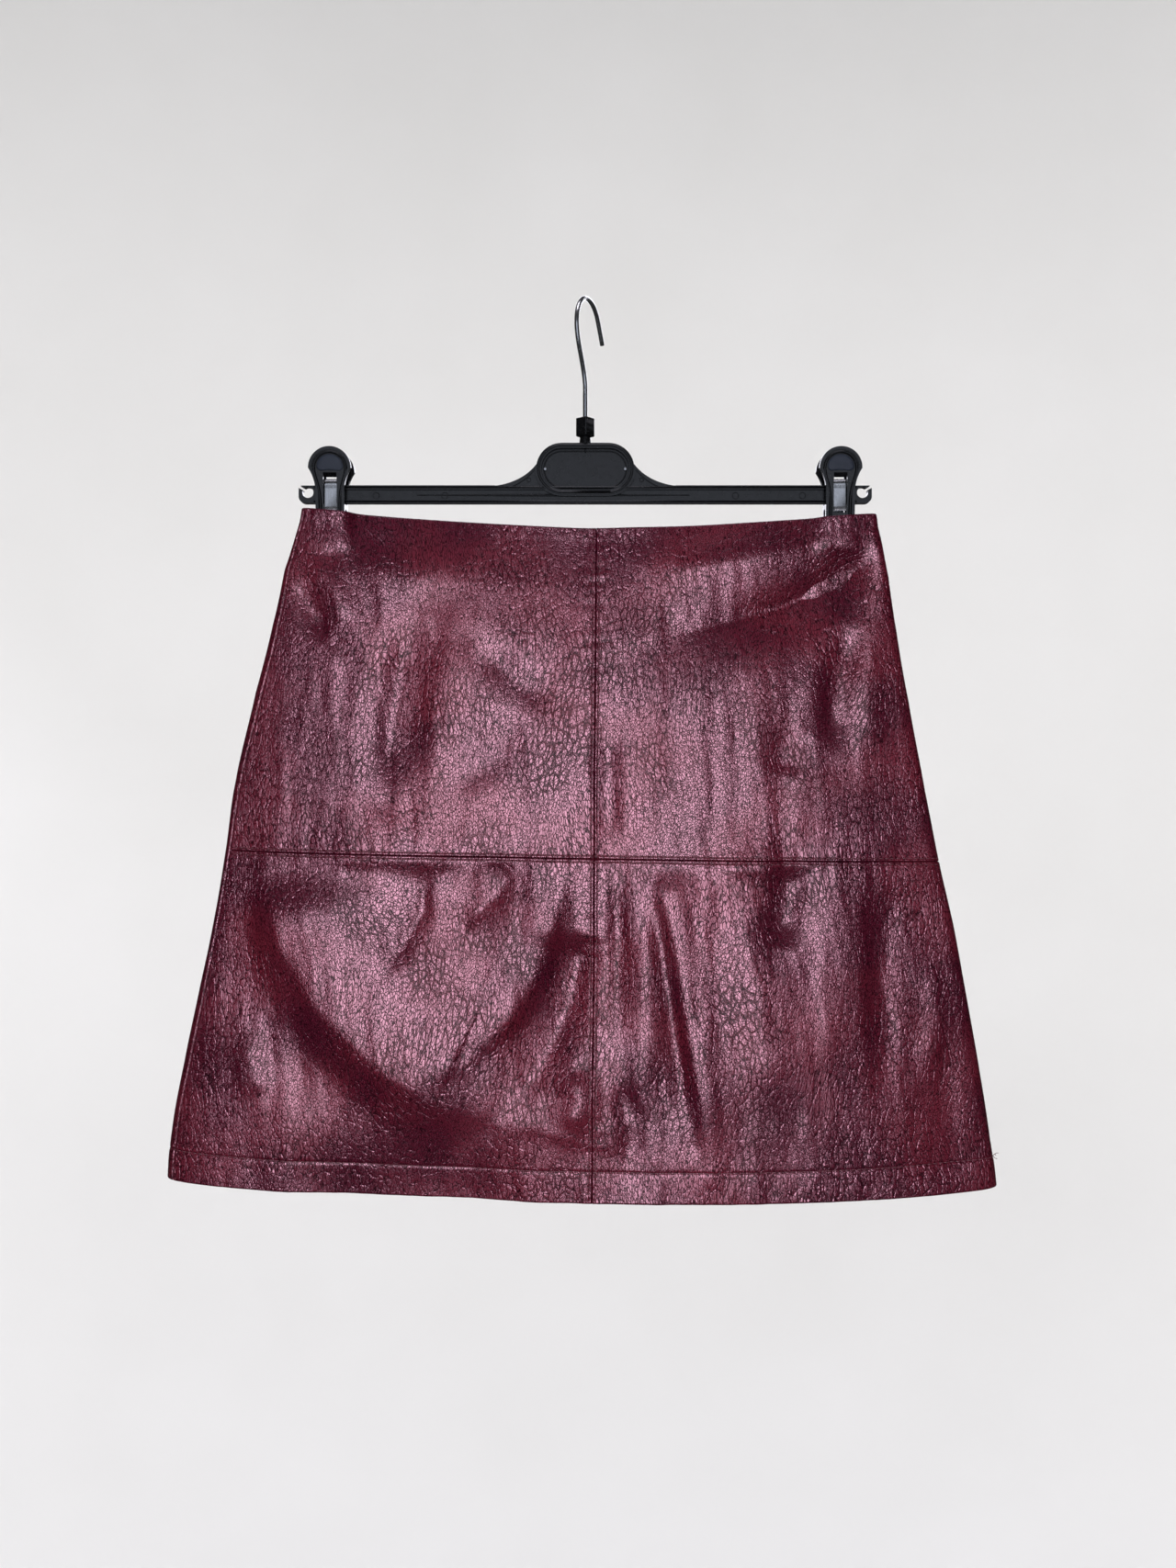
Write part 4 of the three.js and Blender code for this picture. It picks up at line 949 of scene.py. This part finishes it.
def faux_leather(name, dark, body, light, turn):
    """Faux leather: a printed and embossed polyurethane skin on a knit backing. The skin has a
    satin shine, domed grain under 2 mm across, dark cracks between, and longer creases."""
    material, tree = new_material(name)
    coords = mm_coordinates(tree)
    warp = add_node(tree, "ShaderNodeTexNoise", Vector=coords, Scale=0.25, Detail=2, Roughness=0.5)
    bend = add_node(tree, "ShaderNodeVectorMath", {"operation": "SCALE"},
                    i0=warp.outputs["Color"], Scale=1.4)
    drift = add_node(tree, "ShaderNodeTexNoise", Vector=coords, Scale=1 / 90, Detail=1)
    swing = add_node(tree, "ShaderNodeVectorMath", {"operation": "SCALE"},
                     i0=drift.outputs["Color"], Scale=30)

    def grain(lean, stretch, size):
        run = mm_coordinates(tree, lean, (1, 1, stretch))
        swung = add_node(tree, "ShaderNodeVectorMath", {"operation": "ADD"}, i0=run, i1=swing.outputs[0])
        bent = add_node(tree, "ShaderNodeVectorMath", {"operation": "ADD"}, i0=swung.outputs[0],
                        i1=bend.outputs[0])
        cells = add_node(tree, "ShaderNodeTexVoronoi", {"feature": "DISTANCE_TO_EDGE"},
                         Vector=bent.outputs[0], Scale=1 / size)
        return cells.outputs["Distance"]

    def smooth_range(value, low, high, low_out=0.0, high_out=1.0):
        ramp = add_node(tree, "ShaderNodeMapRange", {"interpolation_type": "SMOOTHSTEP"}, Value=value,
                        From_Min=low, From_Max=high, To_Min=low_out, To_Max=high_out)
        return ramp.outputs[0]

    def product(a, b):
        return add_node(tree, "ShaderNodeMath", {"operation": "MULTIPLY"}, i0=a, i1=b).outputs[0]

    def total(a, b):
        return add_node(tree, "ShaderNodeMath", {"operation": "ADD"}, i0=a, i1=b).outputs[0]

    pebble = grain(turn, 2.1, 1.15)
    wrinkle = grain(turn * 1.4, 2.6, 3.4)
    gate = add_node(tree, "ShaderNodeTexNoise", Vector=coords, Scale=1 / 32, Detail=1)
    wrinkled = smooth_range(gate.outputs["Fac"], 0.34, 0.68, 0.3, 1.0)
    wave = add_node(tree, "ShaderNodeTexNoise", Vector=mm_coordinates(tree, turn, (1, 1, 2.4)),
                    Scale=1 / 6, Detail=2, Roughness=0.6, Distortion=0.4)
    pore = add_node(tree, "ShaderNodeTexNoise", Vector=coords, Scale=1.4, Detail=2)
    dome = smooth_range(pebble, 0.0, 0.17, 0.0, 0.05)
    groove = product(smooth_range(wrinkle, 0.0, 0.14, -0.24, 0.0), wrinkled)
    ripple = product(wave.outputs["Fac"], 0.44)
    relief = total(total(dome, groove), total(ripple, product(pore.outputs["Fac"], 0.03)))
    bump = add_node(tree, "ShaderNodeBump", Height=relief, Strength=1.0, Distance=0.001)

    fine_crack = smooth_range(pebble, 0.0, 0.15, 0.12, 1.0)
    long_crack = add_node(tree, "ShaderNodeMix", {"data_type": "FLOAT"}, i0=wrinkled, i2=1.0,
                          i3=smooth_range(wrinkle, 0.0, 0.06, 0.3, 1.0))
    clear = product(fine_crack, long_crack.outputs[0])
    patch = add_node(tree, "ShaderNodeTexNoise", Vector=coords, Scale=1 / 60, Detail=2, Roughness=0.5)
    tone = add_node(tree, "ShaderNodeMix", {"data_type": "RGBA"},
                    i0=smooth_range(patch.outputs["Fac"], 0.35, 0.65), i6=linear(body), i7=linear(light))
    colour = add_node(tree, "ShaderNodeMix", {"data_type": "RGBA"}, i0=clear,
                      i6=linear(dark), i7=tone.outputs[2])
    worn = smooth_range(patch.outputs["Fac"], 0.3, 0.7, 0.25, 0.33)
    gloss = total(worn, smooth_range(clear, 0.2, 1.0, 0.14, 0.0))
    shine = smooth_range(clear, 0.1, 0.9, 0.03, 0.5)
    shader = add_node(tree, "ShaderNodeBsdfPrincipled", Base_Color=colour.outputs[2],
                      Roughness=gloss, Specular_IOR_Level=shine, Normal=bump.outputs["Normal"])
    shader.inputs["IOR"].default_value = 1.62
    shader.inputs["Specular Tint"].default_value = linear("#ffc4d8")
    shader.inputs["Coat Weight"].default_value = 0.06
    shader.inputs["Coat Roughness"].default_value = 0.25
    finish_material(tree, shader)
    return material


def polyester_thread(name, colour):
    """Polyester sewing thread: matt twisted yarn, the twist about half a millimetre long."""
    material, tree = new_material(name)
    coords = mm_coordinates(tree)
    twist = add_node(tree, "ShaderNodeTexWave", {"bands_direction": "DIAGONAL"}, Vector=coords, Scale=0.6)
    shade = add_node(tree, "ShaderNodeMix", {"data_type": "RGBA"}, i0=twist.outputs["Fac"],
                     i6=linear(colour), i7=linear("#4a1622"))
    shader = add_node(tree, "ShaderNodeBsdfPrincipled", Base_Color=shade.outputs[2])
    shader.inputs["Roughness"].default_value = 0.6
    finish_material(tree, shader)
    return material


def woven_tape(name):
    """Woven polyester zip tape: fine ribs 0.6 mm apart."""
    material, tree = new_material(name)
    coords = mm_coordinates(tree)
    ribs = add_node(tree, "ShaderNodeTexWave", {"bands_direction": "Z"}, Vector=coords,
                    Scale=0.52, Distortion=0.5)
    shade = add_node(tree, "ShaderNodeMix", {"data_type": "RGBA"}, i0=ribs.outputs["Fac"],
                     i6=linear("#2a0f15"), i7=linear("#4c1c26"))
    bump = add_node(tree, "ShaderNodeBump", Height=ribs.outputs["Fac"], Strength=0.5, Distance=0.0002)
    shader = add_node(tree, "ShaderNodeBsdfPrincipled", Base_Color=shade.outputs[2],
                      Normal=bump.outputs["Normal"])
    shader.inputs["Roughness"].default_value = 0.7
    finish_material(tree, shader)
    return material


def moulded_plastic(name, colour, rough, second="#0d0d10"):
    """Polystyrene, moulded black: a half gloss with faint flow marks and handling scuffs. For the
    spark-textured finger pads it is duller, and a lighter navy grey: painted sheen of cool light."""
    material, tree = new_material(name)
    coords = mm_coordinates(tree)
    flow = add_node(tree, "ShaderNodeTexNoise", Vector=mm_coordinates(tree, 0, (9, 1, 1)),
                    Scale=1 / 9, Detail=2)
    scuff = add_node(tree, "ShaderNodeTexNoise", Vector=coords, Scale=1 / 2.4, Detail=4, Roughness=0.65)
    gloss = add_node(tree, "ShaderNodeMapRange", Value=scuff.outputs["Fac"], From_Min=0.35, From_Max=0.7,
                     To_Min=rough - 0.03, To_Max=rough + 0.05)
    shade = add_node(tree, "ShaderNodeMix", {"data_type": "RGBA"}, i0=flow.outputs["Fac"],
                     i6=linear(colour), i7=linear(second))
    bump = add_node(tree, "ShaderNodeBump", Height=flow.outputs["Fac"], Strength=0.1, Distance=0.0001)
    shader = add_node(tree, "ShaderNodeBsdfPrincipled", Base_Color=shade.outputs[2],
                      Roughness=gloss.outputs[0], Normal=bump.outputs["Normal"])
    shader.inputs["IOR"].default_value = 1.5
    finish_material(tree, shader)
    return material


def bright_steel(name, stretch, rough):
    """Bright steel, drawn or rolled: fine lines along its run blur the shine."""
    material, tree = new_material(name)
    lines = add_node(tree, "ShaderNodeTexNoise", Vector=mm_coordinates(tree, 0, stretch),
                     Scale=1.6, Detail=3)
    gloss = add_node(tree, "ShaderNodeMapRange", Value=lines.outputs["Fac"], From_Min=0.3, From_Max=0.7,
                     To_Min=rough - 0.05, To_Max=rough + 0.08)
    shade = add_node(tree, "ShaderNodeMix", {"data_type": "RGBA"}, i0=lines.outputs["Fac"],
                     i6=linear("#b4b5b8"), i7=linear("#d6d7d9"))
    bump = add_node(tree, "ShaderNodeBump", Height=lines.outputs["Fac"], Strength=0.15, Distance=0.0001)
    shader = add_node(tree, "ShaderNodeBsdfPrincipled", Base_Color=shade.outputs[2],
                      Roughness=gloss.outputs[0], Normal=bump.outputs["Normal"])
    shader.inputs["Metallic"].default_value = 1.0
    finish_material(tree, shader)
    return material


def painted_board(name, colour):
    """Matt painted studio surface, with a very faint roller texture."""
    material, tree = new_material(name)
    coords = mm_coordinates(tree)
    roller = add_node(tree, "ShaderNodeTexNoise", Vector=coords, Scale=1 / 400, Detail=2)
    shade = add_node(tree, "ShaderNodeMix", {"data_type": "RGBA"}, i0=roller.outputs["Fac"],
                     i6=linear(colour), i7=linear("#f4f4f3"))
    shader = add_node(tree, "ShaderNodeBsdfPrincipled", Base_Color=shade.outputs[2])
    shader.inputs["Roughness"].default_value = 0.9
    finish_material(tree, shader)
    return material


def dress(piece, material):
    piece.data.materials.clear()
    piece.data.materials.append(material)


front_leather = faux_leather("burgundy_faux_leather", "#070103", "#2e0310", "#400814", 0.3)
back_leather = faux_leather("burgundy_faux_leather_back", "#070103", "#2c030f", "#3e0813", -0.2)
seam_thread = polyester_thread("burgundy_polyester_thread", "#1e060c")
tape = woven_tape("woven_zip_tape")
black_plastic = moulded_plastic("moulded_black_polystyrene", "#050506", 0.24)
# The finger pads' lighter navy grey colour is painted sheen of cool light; their duller shine is real.
pad_plastic_painted_sheen = moulded_plastic("spark_textured_polystyrene_painted_sheen", "#1a1f2b", 0.42, "#262c3a")
wire_steel = bright_steel("drawn_steel_wire", (1, 1, 8), 0.2)
strip_steel = bright_steel("rolled_spring_steel", (1, 1, 5), 0.28)

for node, piece in skirt.items():
    dress(piece, back_leather if node == "back_panel" else front_leather)
for piece in (front_stitching, hem_stitching, loose_threads):
    dress(piece, seam_thread)
dress(zip_tape, tape)
for node in LEVERS + ["hanger_body", "size_marker"]:
    dress(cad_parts[node], black_plastic)
for node in SPRINGS:
    dress(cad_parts[node], strip_steel)
for piece in (body_ridges, marker_ribs, clip_ridges):
    dress(piece, black_plastic)
# Painted sheen: the finger pads' navy grey colour.
dress(finger_pads, pad_plastic_painted_sheen)
dress(hook, wire_steel)
for piece in (pin_heads, spring_teeth):
    dress(piece, strip_steel)


# ---------------------------------------------------------------- sheets

# The back panel's strip that wraps round the left fold, in metres.
LEFT_WRAP = 0.03

# The cut of each panel: its flat width and length, and the area of its outline.
for node, piece in skirt.items():
    wide, long, area = cut_size(piece)
    if node == "back_panel":
        wide += LEFT_WRAP


# ---------------------------------------------------------------- stage, light and camera

def make_stage():
    """A plain pale bowl: a floor well below the hem that curves up into a wall all round."""
    floor_radius, wall_radius = 1.7, 2.6
    floor_z, wall_top = -1.75, 2.6
    profile = [(0.001, floor_z), (floor_radius, floor_z)]
    bend = wall_radius - floor_radius
    for i in range(1, 13):
        turn = math.pi / 2 * i / 12
        profile.append((floor_radius + bend * math.sin(turn), floor_z + bend * (1 - math.cos(turn))))
    profile.append((wall_radius, wall_top))
    sides = 96
    mesh = bpy.data.meshes.new("pale_floor")
    vertices = [(r * math.cos(2 * math.pi * k / sides), r * math.sin(2 * math.pi * k / sides), z)
                for r, z in profile for k in range(sides)]
    mesh.from_pydata(vertices, [], ring_faces(len(profile), sides))
    mesh.shade_smooth()
    floor = bpy.data.objects.new("pale_floor", mesh)
    bpy.context.scene.collection.objects.link(floor)
    dress(floor, painted_board("matt_pale_paint", "#ececea"))
    floor.visible_glossy = False


def add_light(name, place, target, size, power, colour, shine=True):
    data = bpy.data.lights.new(name, "AREA")
    data.shape = "RECTANGLE"
    data.size, data.size_y = size
    data.energy = power
    data.color = linear(colour)[:3]
    light = bpy.data.objects.new(name, data)
    light.location = place
    light.rotation_euler = (Vector(target) - Vector(place)).to_track_quat("-Z", "Y").to_euler()
    light.visible_glossy = shine
    bpy.context.scene.collection.objects.link(light)
    return light


def light_only(light, pieces):
    """Keeps a light off everything but these pieces."""
    lit = bpy.data.collections.new(light.name + "_lights")
    for piece in pieces:
        lit.objects.link(piece)
    light.light_linking.receiver_collection = lit


def make_lights():
    middle = (0, 0, -0.34)
    low_key = add_light("low_softbox", (-0.06, -1.55, -0.38), (-0.06, 0, -0.38), (0.94, 0.84), 45,
                        "#fdf6ff")
    light_only(low_key, [*skirt.values(), front_stitching, hem_stitching, loose_threads, zip_tape])
    add_light("high_softbox", (-0.5, -1.3, 1.1), middle, (1.0, 0.6), 12, "#fbf8ff", shine=False)
    card = add_light("front_card", (0.0, -1.6, -0.2), middle, (1.4, 1.2), 5, "#e6eeff")
    moulded = [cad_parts[node] for node in LEVERS + SPRINGS + ["hanger_body", "size_marker"]]
    light_only(card, [hook, body_ridges, pin_heads, marker_ribs, clip_ridges, finger_pads, spring_teeth,
                      *moulded])
    add_light("front_fill", (0.1, -1.9, -0.1), middle, (2.4, 1.6), 6, "#fffaf8", shine=False)
    add_light("top_light", (0.0, -0.5, 1.6), middle, (1.4, 1.0), 12, "#f6f2ff")
    add_light("back_light", (0.4, 1.6, 0.6), middle, (1.6, 1.2), 24, "#f4f4ff")
    wall_wash = add_light("wall_wash", (0.0, -1.2, 0.6), (0, 2.4, -0.5), (1.6, 1.6), 40, "#fffefc")
    light_only(wall_wash, [bpy.data.objects["pale_floor"]])
    world = bpy.data.worlds.new("pale_room")
    world.use_nodes = True
    background = world.node_tree.nodes["Background"]
    background.inputs["Color"].default_value = linear("#e6e6e8")
    background.inputs["Strength"].default_value = 0.05
    bpy.context.scene.world = world
    bpy.context.scene.view_settings.view_transform = "Standard"


def make_camera():
    """Level with the skirt's middle and 0.9 m in front of it."""
    camera_data = bpy.data.cameras.new("camera")
    camera_data.sensor_width = 36
    camera_data.lens = 33.7
    camera = bpy.data.objects.new("camera", camera_data)
    camera.location = (0.0017, -0.9, -0.2972)
    camera.rotation_euler = (math.pi / 2, 0, 0)
    bpy.context.scene.collection.objects.link(camera)
    bpy.context.scene.camera = camera


make_stage()
make_lights()
make_camera()
